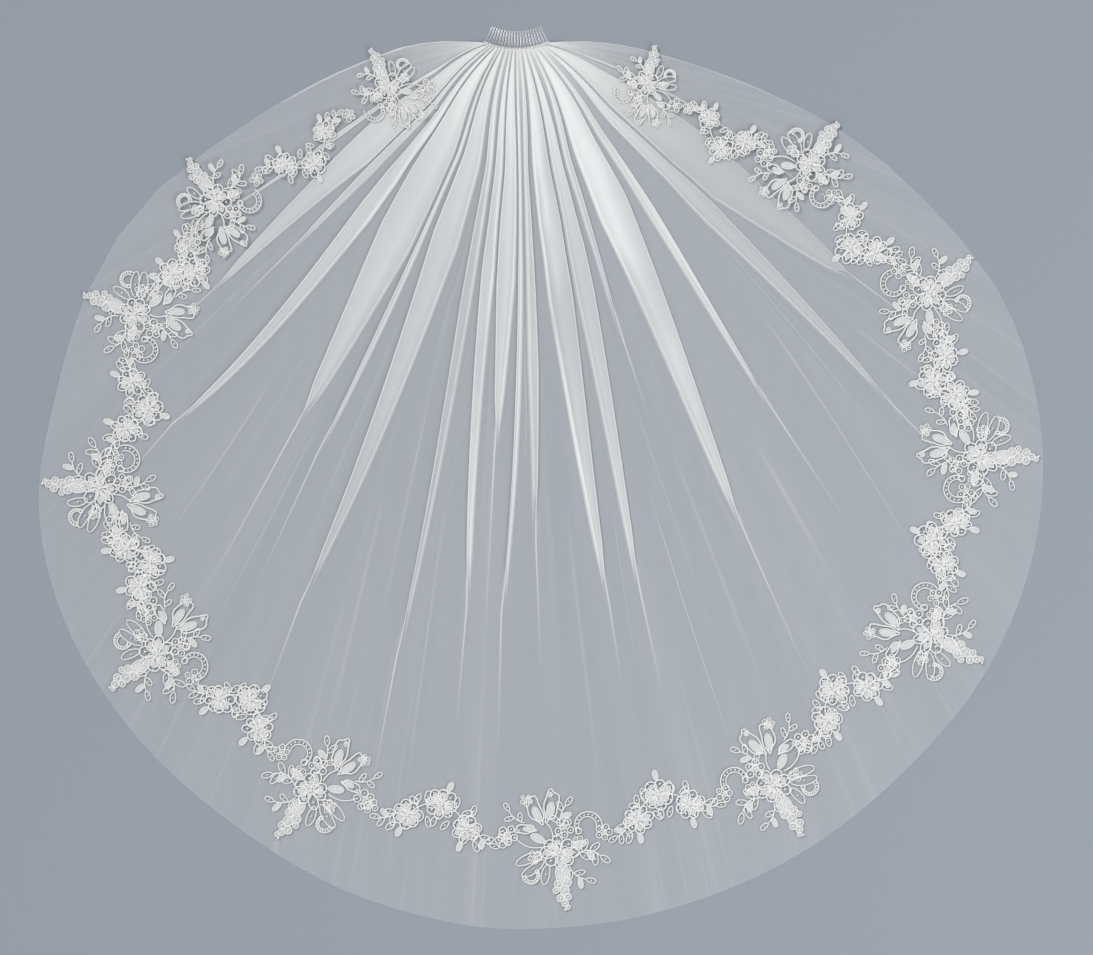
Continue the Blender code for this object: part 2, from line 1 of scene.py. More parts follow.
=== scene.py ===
"""Looks of a bridal veil that lies spread on a surface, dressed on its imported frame.

Sizes are millimetres until a mesh is made. X is across the veil, Y points from the hem to the comb
and Z is up. A bearing is an angle in degrees from straight down the veil, positive to the right. A
share runs from 0 on the comb to 1 on the hem.
"""

import logging
import math
from dataclasses import dataclass, field
from enum import Enum
from typing import NamedTuple, Sequence, Union

import bmesh
import bpy
import numpy as np
from mathutils import Matrix, Vector


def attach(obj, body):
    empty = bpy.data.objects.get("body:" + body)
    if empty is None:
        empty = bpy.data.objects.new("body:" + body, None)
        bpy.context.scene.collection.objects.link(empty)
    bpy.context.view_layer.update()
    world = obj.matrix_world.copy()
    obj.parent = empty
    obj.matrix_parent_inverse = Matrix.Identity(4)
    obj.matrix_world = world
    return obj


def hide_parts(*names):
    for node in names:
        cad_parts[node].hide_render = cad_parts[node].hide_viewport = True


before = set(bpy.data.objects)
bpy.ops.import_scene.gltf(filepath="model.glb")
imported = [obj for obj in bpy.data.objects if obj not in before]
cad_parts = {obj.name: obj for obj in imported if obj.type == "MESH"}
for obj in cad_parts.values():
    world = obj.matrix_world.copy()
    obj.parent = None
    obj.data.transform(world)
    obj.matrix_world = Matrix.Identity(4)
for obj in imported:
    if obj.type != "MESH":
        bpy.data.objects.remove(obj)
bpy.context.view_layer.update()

LOG = logging.getLogger("bridal_veil")
MM = 0.001
BODY = "root"
UP = Vector((0.0, 0.0, 1.0))
MERGE = 1e-4  # corners nearer than this become one
TUBE_NOSE = 0.3  # how far a cord's closed end stands out, by its diameter
ROOT_WIDTH = 1e-3  # keeps the root of a petal from closing

Colour = tuple[float, float, float]
Stretch = tuple[float, float, float]
Array = np.ndarray
Material = bpy.types.Material
Piece = bpy.types.Object


# Shader building


class Value:
    """A shader socket that takes part in Python arithmetic."""

    def __init__(self, tree: "ShaderTree", socket: bpy.types.NodeSocket) -> None:
        """Wrap one output socket of a tree."""
        self.tree = tree
        self.socket = socket

    def _math(self, operation: str, first: "Term", second: "Term") -> "Value":
        """Add a Math node for one operation on two terms."""
        return self.tree.node("ShaderNodeMath", {"operation": operation}, {0: first, 1: second})

    def __add__(self, other: "Term") -> "Value":
        """This value plus a term."""
        return self._math("ADD", self, other)

    def __sub__(self, other: "Term") -> "Value":
        """This value minus a term."""
        return self._math("SUBTRACT", self, other)

    def __mul__(self, other: "Term") -> "Value":
        """This value times a term."""
        return self._math("MULTIPLY", self, other)

    def clipped(self, low: float, high: float) -> "Value":
        """This value held between two numbers."""
        return self._math("MINIMUM", self._math("MAXIMUM", self, low), high)

    def sine(self) -> "Value":
        """The sine of this value in radians."""
        return self.tree.node("ShaderNodeMath", {"operation": "SINE"}, {0: self})


Term = Union[Value, float]


class ShaderTree:
    """The node tree of one new material."""

    def __init__(self, name: str) -> None:
        """Make the named material with nothing but its output."""
        self.material = bpy.data.materials.new(name)
        self.material.use_nodes = True
        self.nodes = self.material.node_tree.nodes
        self.links = self.material.node_tree.links
        self.nodes.clear()
        self.output = self.nodes.new("ShaderNodeOutputMaterial")

    def node(self, kind: str, settings: dict, inputs: dict, output: Union[int, str] = 0) -> Value:
        """Add a node, with its settings made before its sockets.

        Args:
            kind: the node's type name.
            settings: attributes of the node.
            inputs: numbers, colours, vectors or values by the socket's name or number.
            output: the socket that is returned.

        Returns:
            The chosen output as a value.
        """
        made = self.nodes.new(kind)
        for key, setting in settings.items():
            setattr(made, key, setting)
        for key, given in inputs.items():
            if isinstance(given, Value):
                self.links.new(given.socket, made.inputs[key])
            else:
                made.inputs[key].default_value = given
        return Value(self, made.outputs[output])

    def attribute(self, name: str) -> Value:
        """A number that the mesh holds at its points."""
        return self.node("ShaderNodeAttribute", {"attribute_name": name}, {}, "Fac")

    def object_place(self) -> Value:
        """The Object coordinates of the surface, in metres."""
        return self.node("ShaderNodeTexCoord", {}, {}, "Object")

    def cloth_place(self) -> Value:
        """The cloth's own UV map: metres along the hem, then down the cloth."""
        return self.node("ShaderNodeTexCoord", {}, {}, "UV")

    def stretched(self, place: Value, scale: Stretch, turn: float = 0.0) -> Value:
        """A place scaled and turned about Z for a pattern."""
        return self.node("ShaderNodeMapping", {}, {"Vector": place, "Scale": scale,
                                                   "Rotation": (0.0, 0.0, turn)})

    def noise(self, place: Value, scale: float, detail: float) -> Value:
        """Soft noise from 0 to 1, near 0.5 on average."""
        return self.node("ShaderNodeTexNoise", {}, {"Vector": place, "Scale": scale,
                                                    "Detail": detail, "Roughness": 0.55})

    def tinted(self, factor: Value, first: Colour, second: Colour) -> Value:
        """A colour between two, by a factor from 0 to 1."""
        colours = {"Factor": factor, 6: (*first, 1.0), 7: (*second, 1.0)}
        return self.node("ShaderNodeMix", {"data_type": "RGBA"}, colours, 2)

    def bump(self, height: Value, strength: float, distance: float) -> Value:
        """A surface normal bent by a height."""
        return self.node("ShaderNodeBump", {}, {"Height": height, "Strength": strength,
                                                "Distance": distance})

    def finish(self, inputs: dict) -> Material:
        """Close the tree with a Principled shader.

        Args:
            inputs: numbers, colours or values by socket name.

        Returns:
            The finished material.
        """
        shader = self.node("ShaderNodeBsdfPrincipled", {}, inputs)
        self.links.new(shader.socket, self.output.inputs["Surface"])
        return self.material


# Finishes


@dataclass(frozen=True)
class Finish:
    """A material with a colour that drifts between two."""

    name: str
    colour: Colour
    shade: Colour

    def material(self) -> Material:
        """Build the material."""
        tree = ShaderTree(self.name)
        inputs = self.inputs(tree, tree.object_place())
        inputs["Base Color"] = tree.tinted(inputs["Base Color"], self.shade, self.colour)
        return tree.finish(inputs)

    def inputs(self, tree: ShaderTree, place: Value) -> dict:
        """The shader's inputs, with the share of the main colour as its base colour."""
        raise NotImplementedError


@dataclass(frozen=True)
class NetFinish(Finish):
    """Soft white net: alpha is the share that threads cover, more where it is folded."""

    name: str = "soft_net"
    # painted light and shade: colour is the whiter net on folds, gathers and pressed layers, shade
    # the greyer single net
    colour: Colour = (0.95, 0.95, 0.94)
    shade: Colour = (0.86, 0.87, 0.88)
    cover: float = 0.235
    pressed_cover: float = 0.165
    fold_cover: float = 0.60
    gather_cover: float = 0.68
    streak_cover: float = 0.22
    least_cover: float = 0.06
    most_cover: float = 0.97
    cell: float = 1.5 * MM
    cell_cover: float = 0.09
    cell_shift: float = 2.1
    layer_sharpness: float = 3.2
    line_start: float = 0.57
    line_sharpness: float = 9.0
    streaks: Stretch = (95.0, 1.3, 1.0)
    tucks: Stretch = (36.0, 1.0, 1.0)
    broad_bands: Stretch = (16.0, 0.8, 1.0)

    def inputs(self, tree: ShaderTree, place: Value) -> dict:
        """Cover, colour and streaks from folds, gathers and layers, the colour as painted light
        and shade.
        """
        fold, gather, ply = (tree.attribute(name) for name in ("fold", "gather", "ply"))
        streak = tree.noise(tree.stretched(tree.cloth_place(), self.streaks), 1.0, 4.0)
        broad = tree.noise(tree.stretched(tree.cloth_place(), self.broad_bands), 1.0, 2.0)
        tuck = tree.noise(tree.stretched(tree.cloth_place(), self.tucks), 1.0, 3.0)
        pressed = ply.clipped(0.0, 1.0)
        layer = ((tuck - 0.5) * self.layer_sharpness).clipped(-0.5, 0.5)
        line = ((streak - self.line_start) * self.line_sharpness).clipped(0.0, 1.0)
        ripple = ((streak - 0.5) * (gather * 1.2 + 0.4) + (broad - 0.5) * 0.9
                  + layer * (gather * 1.5 + pressed * 1.6) + line * (pressed * 1.5 + 0.3))
        cover = (pressed * self.pressed_cover + self.cover + fold * self.fold_cover
                 + gather * self.gather_cover + ripple * self.streak_cover
                 + self._cells(tree, place, ply) * self.cell_cover)
        return {
            # painted light and shade: whiter on folds, gathers and pressed layers, greyer on the
            # single net, with random streaks of tone
            "Base Color": (fold + gather + streak * 0.3 + pressed * 0.2).clipped(0.0, 1.0),
            "Roughness": 0.72,
            "Alpha": cover.clipped(self.least_cover, self.most_cover),
            "Normal": tree.bump(streak * (gather + 0.12), 0.6, 1.2 * MM),
            "Sheen Weight": 0.15,
            "Sheen Roughness": 0.4,
        }

    def _cells(self, tree: ShaderTree, place: Value, ply: Value) -> Value:
        """Six-sided mesh from three sets of waves, moved on from one ply to the next."""
        wave_number = 4.0 * math.pi / (math.sqrt(3.0) * self.cell)
        waves = []
        for turn in (0.0, math.pi / 3, 2.0 * math.pi / 3):
            turned = tree.stretched(place, (wave_number, wave_number, 1.0), turn)
            along = tree.node("ShaderNodeSeparateXYZ", {}, {"Vector": turned}, "X")
            waves.append((along + ply * self.cell_shift).sine())
        return waves[0] + waves[1] + waves[2]


@dataclass(frozen=True)
class CordFinish(Finish):
    """Matt white cord with a fine twist, which outlines the lace."""

    name: str = "lace_cord"
    colour: Colour = (0.95, 0.945, 0.925)
    shade: Colour = (0.84, 0.835, 0.82)
    twist: float = 0.5 * MM

    def inputs(self, tree: ShaderTree, place: Value) -> dict:
        """A fine twist over uneven white."""
        twist = tree.noise(place, 1.0 / self.twist, 2.0)
        uneven = tree.noise(place, 70.0, 2.0)
        return {
            "Base Color": (uneven * 0.6 + twist * 0.5).clipped(0.0, 1.0),
            "Roughness": (twist * 0.25 + 0.5).clipped(0.3, 0.9),
            "Normal": tree.bump(twist, 0.5, 0.3 * MM),
            "Sheen Weight": 0.2,
            "Sheen Roughness": 0.4,
        }


@dataclass(frozen=True)
class SatinFinish(Finish):
    """Close stitches that fill the petals and leaves, nearly opaque."""

    name: str = "satin_stitch"
    colour: Colour = (0.94, 0.94, 0.93)
    shade: Colour = (0.80, 0.805, 0.81)
    stitch: float = 0.45 * MM
    stitch_turn: float = 0.6
    cover: float = 0.78

    def inputs(self, tree: ShaderTree, place: Value) -> dict:
        """Stitch lines and cloudy patches."""
        along = tree.stretched(place, (1.0, 0.18, 1.0), self.stitch_turn)
        lines = tree.noise(along, 1.0 / self.stitch, 1.0)
        patch = tree.noise(place, 220.0, 2.0)
        return {
            "Base Color": (lines * 0.5 + patch * 0.6).clipped(0.0, 1.0),
            "Roughness": (lines * 0.25 + 0.32).clipped(0.2, 0.8),
            "Alpha": ((lines - 0.5) * 0.9 + self.cover).clipped(0.2, 1.0),
            "Normal": tree.bump(lines, 0.5, 0.3 * MM),
            "Sheen Weight": 0.15,
        }


@dataclass(frozen=True)
class PearlFinish(Finish):
    """Small round pearl beads, smooth and coated."""

    name: str = "pearl_bead"
    colour: Colour = (0.95, 0.935, 0.90)
    shade: Colour = (0.86, 0.85, 0.86)

    def inputs(self, tree: ShaderTree, place: Value) -> dict:
        """A faint cloudy colour under a coat."""
        cloud = tree.noise(place, 500.0, 2.0)
        return {
            "Base Color": cloud,
            "Roughness": (cloud * 0.12 + 0.16).clipped(0.1, 0.4),
            "Coat Weight": 0.6,
            "Coat Roughness": 0.12,
        }


@dataclass(frozen=True)
class SequinFinish(Finish):
    """Thin clear-silver sequins."""

    name: str = "sequin"
    colour: Colour = (0.92, 0.93, 0.96)
    shade: Colour = (0.78, 0.82, 0.88)

    def inputs(self, tree: ShaderTree, place: Value) -> dict:
        """A half-metallic gloss."""
        glint = tree.noise(place, 160.0, 1.0)
        return {
            "Base Color": glint,
            "Metallic": (glint * 0.4 + 0.35).clipped(0.0, 1.0),
            "Roughness": (glint * 0.2 + 0.12).clipped(0.05, 0.5),
        }


@dataclass(frozen=True)
class WireFinish(Finish):
    """Bright drawn wire of the comb."""

    name: str = "bright_wire"
    colour: Colour = (0.96, 0.96, 0.97)
    shade: Colour = (0.82, 0.83, 0.85)

    def inputs(self, tree: ShaderTree, place: Value) -> dict:
        """Metal with fine drawing marks."""
        drawn = tree.noise(tree.stretched(place, (2600.0, 160.0, 1.0)), 1.0, 3.0)
        worn = tree.noise(place, 90.0, 3.0)
        return {
            "Base Color": (drawn * 0.5 + worn * 0.6).clipped(0.0, 1.0),
            "Metallic": (worn * 0.3 + 0.45).clipped(0.0, 1.0),
            "Roughness": (drawn * 0.22 + 0.20).clipped(0.1, 0.6),
            "Normal": tree.bump(drawn, 0.15, 0.1 * MM),
        }


@dataclass(frozen=True)
class FloorFinish(Finish):
    """Plain pale surface under the veil, matt and all but even."""

    name: str = "plain_floor"
    colour: Colour = (0.335, 0.365, 0.405)
    shade: Colour = (0.325, 0.355, 0.395)

    def inputs(self, tree: ShaderTree, place: Value) -> dict:
        """A slow drift of colour."""
        return {"Base Color": tree.noise(place, 1.4, 3.0), "Roughness": 0.85,
                "Specular IOR Level": 0.2}


# Making pieces


def link_object(name: str, data: bpy.types.ID) -> Piece:
    """An object around its data, linked to the scene."""
    made = bpy.data.objects.new(name, data)
    bpy.context.scene.collection.objects.link(made)
    return made


def link_piece(name: str, mesh: bpy.types.Mesh, materials: Sequence[Material]) -> Piece:
    """A smooth piece of a mesh and its materials."""
    mesh.shade_smooth()
    for material in materials:
        mesh.materials.append(material)
    return link_object(name, mesh)


def make_piece(name: str, working: bmesh.types.BMesh, materials: Sequence[Material]) -> Piece:
    """Turn a bmesh in millimetres into a smooth piece at the origin.

    Args:
        name: the piece's name.
        working: the shape, which is used up.
        materials: its material slots.

    Returns:
        The piece, linked to the scene.
    """
    bmesh.ops.remove_doubles(working, verts=working.verts, dist=MERGE)
    bmesh.ops.recalc_face_normals(working, faces=working.faces)
    bmesh.ops.scale(working, vec=(MM, MM, MM), verts=working.verts)
    mesh = bpy.data.meshes.new(name)
    working.to_mesh(mesh)
    working.free()
    return link_piece(name, mesh, materials)


# Plan of the spread veil


@dataclass(frozen=True)
class Comb:
    """Wire comb: an arc that sags towards the hem, its teeth on the other side."""

    middle: tuple[float, float] = (-30.6, 533.5)
    chord: float = 85.0
    sag: float = 10.0
    tooth_count: int = 20
    tooth_wire: float = 1.1
    tooth_length: float = 24.0
    leg_spread: float = 1.5
    fine_wire: float = 0.9
    spine_wire: float = 1.8
    seam_gap: float = 0.3

    @property
    def radius(self) -> float:
        """Radius of the comb's arc."""
        return self.chord ** 2 / (8.0 * self.sag) + self.sag / 2.0

    @property
    def spine_middle(self) -> float:
        """Height of the bar's middle."""
        return self.tooth_wire + self.seam_gap + self.spine_wire / 2.0

    def place(self, share: float, outwards: float = 0.0) -> tuple[Vector, Vector]:
        """A place on the comb's arc.

        Args:
            share: -1 at its left end to 1 at its right end.
            outwards: distance from the arc towards the teeth.

        Returns:
            The place in plan and the direction along the arc there.
        """
        angle = share * math.asin(self.chord / 2.0 / self.radius)
        centre = Vector((self.middle[0], self.middle[1] + self.radius, 0.0))
        ray = Vector((math.sin(angle), -math.cos(angle), 0.0))
        along = Vector((math.cos(angle), math.sin(angle), 0.0))
        return centre + (self.radius - outwards) * ray, along

    def bent_wire(self) -> list[Vector]:
        """The line of the one wire that is bent back and forth into teeth with round tips."""
        leg_share = self.leg_spread / self.chord
        bend = self.leg_spread / 2.0
        spots = []
        for tooth in range(self.tooth_count):
            middle = (2.0 * (tooth + 0.5) / self.tooth_count - 1.0) * (1.0 - leg_share)
            turns = [math.pi * (1.0 - step / 4.0) for step in range(5)]
            tip = [(math.cos(turn), self.tooth_length - bend + bend * math.sin(turn))
                   for turn in turns]
            for side, outwards in [(-1.0, 0.0), *tip, (1.0, 0.0)]:
                spot = self.place(middle + side * leg_share, outwards)[0]
                spots.append(spot + Vector((0.0, 0.0, self.tooth_wire / 2.0)))
        return spots


class HemRow(NamedTuple):
    """Distance of the hem from the fan's centre at a bearing."""

    bearing: float
    reach: float


HEM = [HemRow(*row) for row in (
    (-98.0, 62.0), (-95.3, 95.0), (-90.5, 145.0), (-85.5, 189.0), (-78.0, 289.0), (-73.0, 380.0),
    (-68.0, 493.0), (-62.2, 590.0), (-53.0, 721.0), (-46.6, 822.0), (-38.7, 908.0), (-29.0, 982.0),
    (-20.3, 1031.0), (-11.8, 1073.0), (-3.7, 1097.0), (0.9, 1101.0), (9.5, 1094.0), (19.4, 1067.0),
    (28.3, 1025.0), (36.9, 976.0), (46.2, 898.0), (54.6, 803.0), (63.0, 679.0), (69.2, 553.0),
    (75.8, 418.0), (80.5, 309.0), (85.8, 206.0), (94.1, 105.0), (98.0, 62.0),
)]


def run_along(points: Array) -> Array:
    """Length along a line at each of its points."""
    steps = np.linalg.norm(np.diff(points, axis=0), axis=1)
    return np.concatenate(([0.0], np.cumsum(steps)))


@dataclass(frozen=True)
class Fan:
    """How the net spreads from the comb to the hem."""

    comb: Comb = Comb()
    centre_above_comb: float = 3.0
    half_angle: float = 98.0
    heading_overlap: float = 1.2
    heading_lift: float = 3.5
    lift_length: float = 24.0
    samples: int = 421

    @property
    def bearings(self) -> Array:
        """Even bearings across the whole fan."""
        return np.linspace(-self.half_angle, self.half_angle, self.samples)

    def reach(self, bearing: Array) -> Array:
        """Distance from the centre to the hem, on a smooth curve through the table.

        Args:
            bearing: bearings in degrees.

        Returns:
            One distance for each bearing.
        """
        at, far = np.array(HEM).T
        last = len(HEM) - 1
        index = np.clip(np.searchsorted(at, bearing, side="left") - 1, 0, last - 1)
        before, beyond = np.maximum(index - 1, 0), np.minimum(index + 2, last)
        step = at[index + 1] - at[index]
        share = np.clip((bearing - at[index]) / step, 0.0, 1.0)
        slope_here = (far[index + 1] - far[before]) / (at[index + 1] - at[before]) * step
        slope_after = (far[beyond] - far[index]) / (at[beyond] - at[index]) * step
        square, cube = share ** 2, share ** 3
        return ((2 * cube - 3 * square + 1) * far[index] + (cube - 2 * square + share) * slope_here
                + (3 * square - 2 * cube) * far[index + 1] + (cube - square) * slope_after)

    def hem(self, bearing: Array) -> Array:
        """The hem in plan."""
        angle = np.radians(bearing)
        centre = np.array([self.comb.middle[0], self.comb.middle[1] + self.centre_above_comb])
        ray = np.stack([np.sin(angle), -np.cos(angle)], axis=-1)
        return centre + self.reach(bearing)[..., None] * ray

    def heading(self, bearing: Array) -> Array:
        """The gathered edge in plan: half an oval that lies on the comb."""
        angle = np.radians(90.0 * bearing / self.half_angle)
        depth = self.comb.sag - self.heading_overlap
        across = self.comb.middle[0] + self.comb.chord / 2.0 * np.sin(angle)
        down = self.comb.middle[1] + self.comb.sag - depth * np.cos(angle)
        return np.stack([across, down], axis=-1)

    def plan(self, bearing: Array, share: float) -> Array:
        """A place of the spread net in plan, on a straight line from heading to hem."""
        top = self.heading(bearing)
        return top + (self.hem(bearing) - top) * share

    def travel(self, bearing: Array, share: float) -> Array:
        """Distance down the net from the gathered edge."""
        return np.linalg.norm(self.plan(bearing, share) - self.heading(bearing), axis=-1)

    def lift(self, bearing: Array, share: float) -> Array:
        """How far the net is carried over the comb's bar."""
        fall = 1.0 - self.travel(bearing, share) / self.lift_length
        return self.heading_lift * np.maximum(fall, 0.0)

    def hem_frame(self, bearing: float, inset: float) -> tuple[Vector, Vector]:
        """A place in from the hem.

        Args:
            bearing: where on the hem.
            inset: distance in from it.

        Returns:
            The place in plan and the outward direction there.
        """
        before, here, after = self.hem(np.array([bearing - 0.5, bearing, bearing + 0.5]))
        along = Vector((*(after - before), 0.0)).normalized()
        outward = Vector((along.y, -along.x, 0.0))
        return Vector((*here, 0.0)) - outward * inset, outward

    def hem_lengths(self) -> tuple[Array, Array]:
        """Bearings across the fan and the length along the hem at each."""
        return self.bearings, run_along(self.hem(self.bearings))


# Pleats and creases of the net


class Section(NamedTuple):
    """Stations across one pleat or crease: offsets, heights, fold marks and plies."""

    offset: Array
    height: Array
    fold: Array
    ply: Array


class Lean(Enum):
    """Side that a pleat's free fold lies on."""

    LEFT = -1
    RIGHT = 1


def smoothstep(value: Union[float, Array]) -> Union[float, Array]:
    """Ease from 0 to 1 for values from 0 to 1."""
    clipped = np.clip(value, 0.0, 1.0)
    return clipped * clipped * (3.0 - 2.0 * clipped)


@dataclass(frozen=True)
class Fold:
    """A fold's bearings below the comb, half way and at its tip, and its width."""

    top_bearing: float
    middle_bearing: float
    tip_bearing: float
    width: float

    def bearing_at(self, run: float) -> float:
        """Bearing on a parabola through the three, at a share of the fold's own length."""
        share = min(max(run, 0.0), 1.0)
        return (2.0 * (share - 0.5) * (share - 1.0) * self.top_bearing
                - 4.0 * share * (share - 1.0) * self.middle_bearing
                + 2.0 * share * (share - 0.5) * self.tip_bearing)


@dataclass(frozen=True)
class Pleat(Fold):
    """A pressed pleat, three layers deep, that opens out at its tip.

    The width is where it is widest, and peak and tip are shares of the way to the hem. The tail is
    how far a faint crease runs on, and inner how white a line along the top layer is.
    """

    peak: float
    tip: float
    lean: Lean
    tail: float
    inner: float = 0.0
    heading_room: float = 4.0

    STATIONS = 16
    SHOULDER = 1.2
    OVERRUN = 0.8
    BEND = 0.25
    BEND_SHARE = 0.27
    EDGE = 1.7
    EDGE_SHARE = 0.6
    INNER_SHARE = 0.3
    FOOT_SHARE = 0.45
    LAYER_STEP = 1.3
    WIDTH_AT_COMB = 0.4
    GROWTH_POWER = 0.85
    TAPER_POWER = 0.8
    RELEASE = 0.07
    TAIL_MARK = 0.85
    RIDGE_SPREAD = 1.4
    FLAT_STEP = 0.8

    def bearing(self, share: float) -> float:
        """Bearing of the pleat's middle, away from the comb."""
        return self.bearing_at(share / self.tip)

    def width_at(self, share: float) -> float:
        """Width over which the layers overlap."""
        if share <= self.peak:
            grown = (share / self.peak) ** self.GROWTH_POWER
            return self.WIDTH_AT_COMB + (self.width - self.WIDTH_AT_COMB) * grown
        taper = max((self.tip - share) / (self.tip - self.peak), 0.0)
        return self.width * taper ** self.TAPER_POWER

    def section(self, share: float, slope: float) -> Section:
        """Stations across the pleat.

        The lower layer runs in, the middle layer runs back over it and the top layer runs out
        again. Towards the tip the three unfold into one.

        Args:
            share: how far down the net.
            slope: length over which the top layer comes down.

        Returns:
            The section, folded or flat.
        """
        half = self.width_at(share) / 2.0
        edge = min(self.EDGE, half * self.EDGE_SHARE)
        inner = half * self.INNER_SHARE
        end = half + self.OVERRUN
        bend = self.BEND
        low, middle, high = 0.0, self.LAYER_STEP, 2.0 * self.LAYER_STEP
        quarter = self.LAYER_STEP * self.BEND_SHARE
        offset = np.array([-half - self.SHOULDER, 0.0, half - edge, half + bend, half + bend,
                           half - edge, 0.0, -half + edge, -half - bend, -half - bend,
                           -half + edge, inner, half - edge, end, end + slope * 0.5, end + slope])
        height = np.array([low, low, low, low + quarter, middle - quarter,
                           middle, middle, middle, middle + quarter, high - quarter,
                           high, high, high, high, high * self.FOOT_SHARE, low])
        fold = np.array([0.0, 0.0, 0.0, 0.8, 0.8,
                         0.0, 0.0, 0.0, 1.0, 1.0,
                         0.0, self.inner, 0.0, 0.6, 0.15, 0.0])
        ply = np.array([0.0, 0.0, 0.0, 0.5, 0.5, 1.0, 1.0, 1.0,
                        1.5, 1.5, 2.0, 2.0, 2.0, 2.0, 1.0, 0.0])
        folded = float(smoothstep((self.tip - share) / self.RELEASE))
        stations = np.arange(self.STATIONS) - (self.STATIONS - 1) / 2.0
        flat = stations * self.FLAT_STEP
        offset = flat + (offset - flat) * folded
        tail_left = 1.0 - (share - self.tip) / (self.tail - self.tip)
        tail = self.TAIL_MARK * float(np.clip(tail_left, 0.0, 1.0))
        ridge = np.exp(-(stations / self.RIDGE_SPREAD) ** 2)
        fold = fold * folded + ridge * tail * (1.0 - folded)
        height = height * folded + ridge * tail * (1.0 - folded)
        if self.lean is Lean.LEFT:
            return Section(offset, height, fold, ply * folded)
        return Section(-offset[::-1], height[::-1], fold[::-1], ply[::-1] * folded)


@dataclass(frozen=True)
class Crease(Fold):
    """A soft ridge in the single net, between two shares of the way to the hem."""

    start: float
    tip: float
    height: float
    mark: float
    heading_room: float = 0.7

    RAMP = 0.09
    WHITER = 1.8
    PROFILE = ((-1.0, 0.0), (-0.45, 0.4), (0.0, 1.0), (0.45, 0.4), (1.0, 0.0))

    def bearing(self, share: float) -> float:
        """Bearing of the crease, held before its start and past its tip."""
        return self.bearing_at((share - self.start) / (self.tip - self.start))

    def section(self, share: float, slope: float) -> Section:
        """Stations across the crease.

        Args:
            share: how far down the net.
            slope: not used by a crease.

        Returns:
            The section, flat beyond both ends.
        """
        strength = float(smoothstep((share - self.start) / self.RAMP)
                         * smoothstep((self.tip - share) / (2.0 * self.RAMP)))
        profile = np.array(self.PROFILE)
        offset = profile[:, 0] * self.width / 2.0
        return Section(offset, profile[:, 1] * self.height * strength,
                       profile[:, 1] * self.mark * self.WHITER * strength,
                       np.zeros(len(profile)))


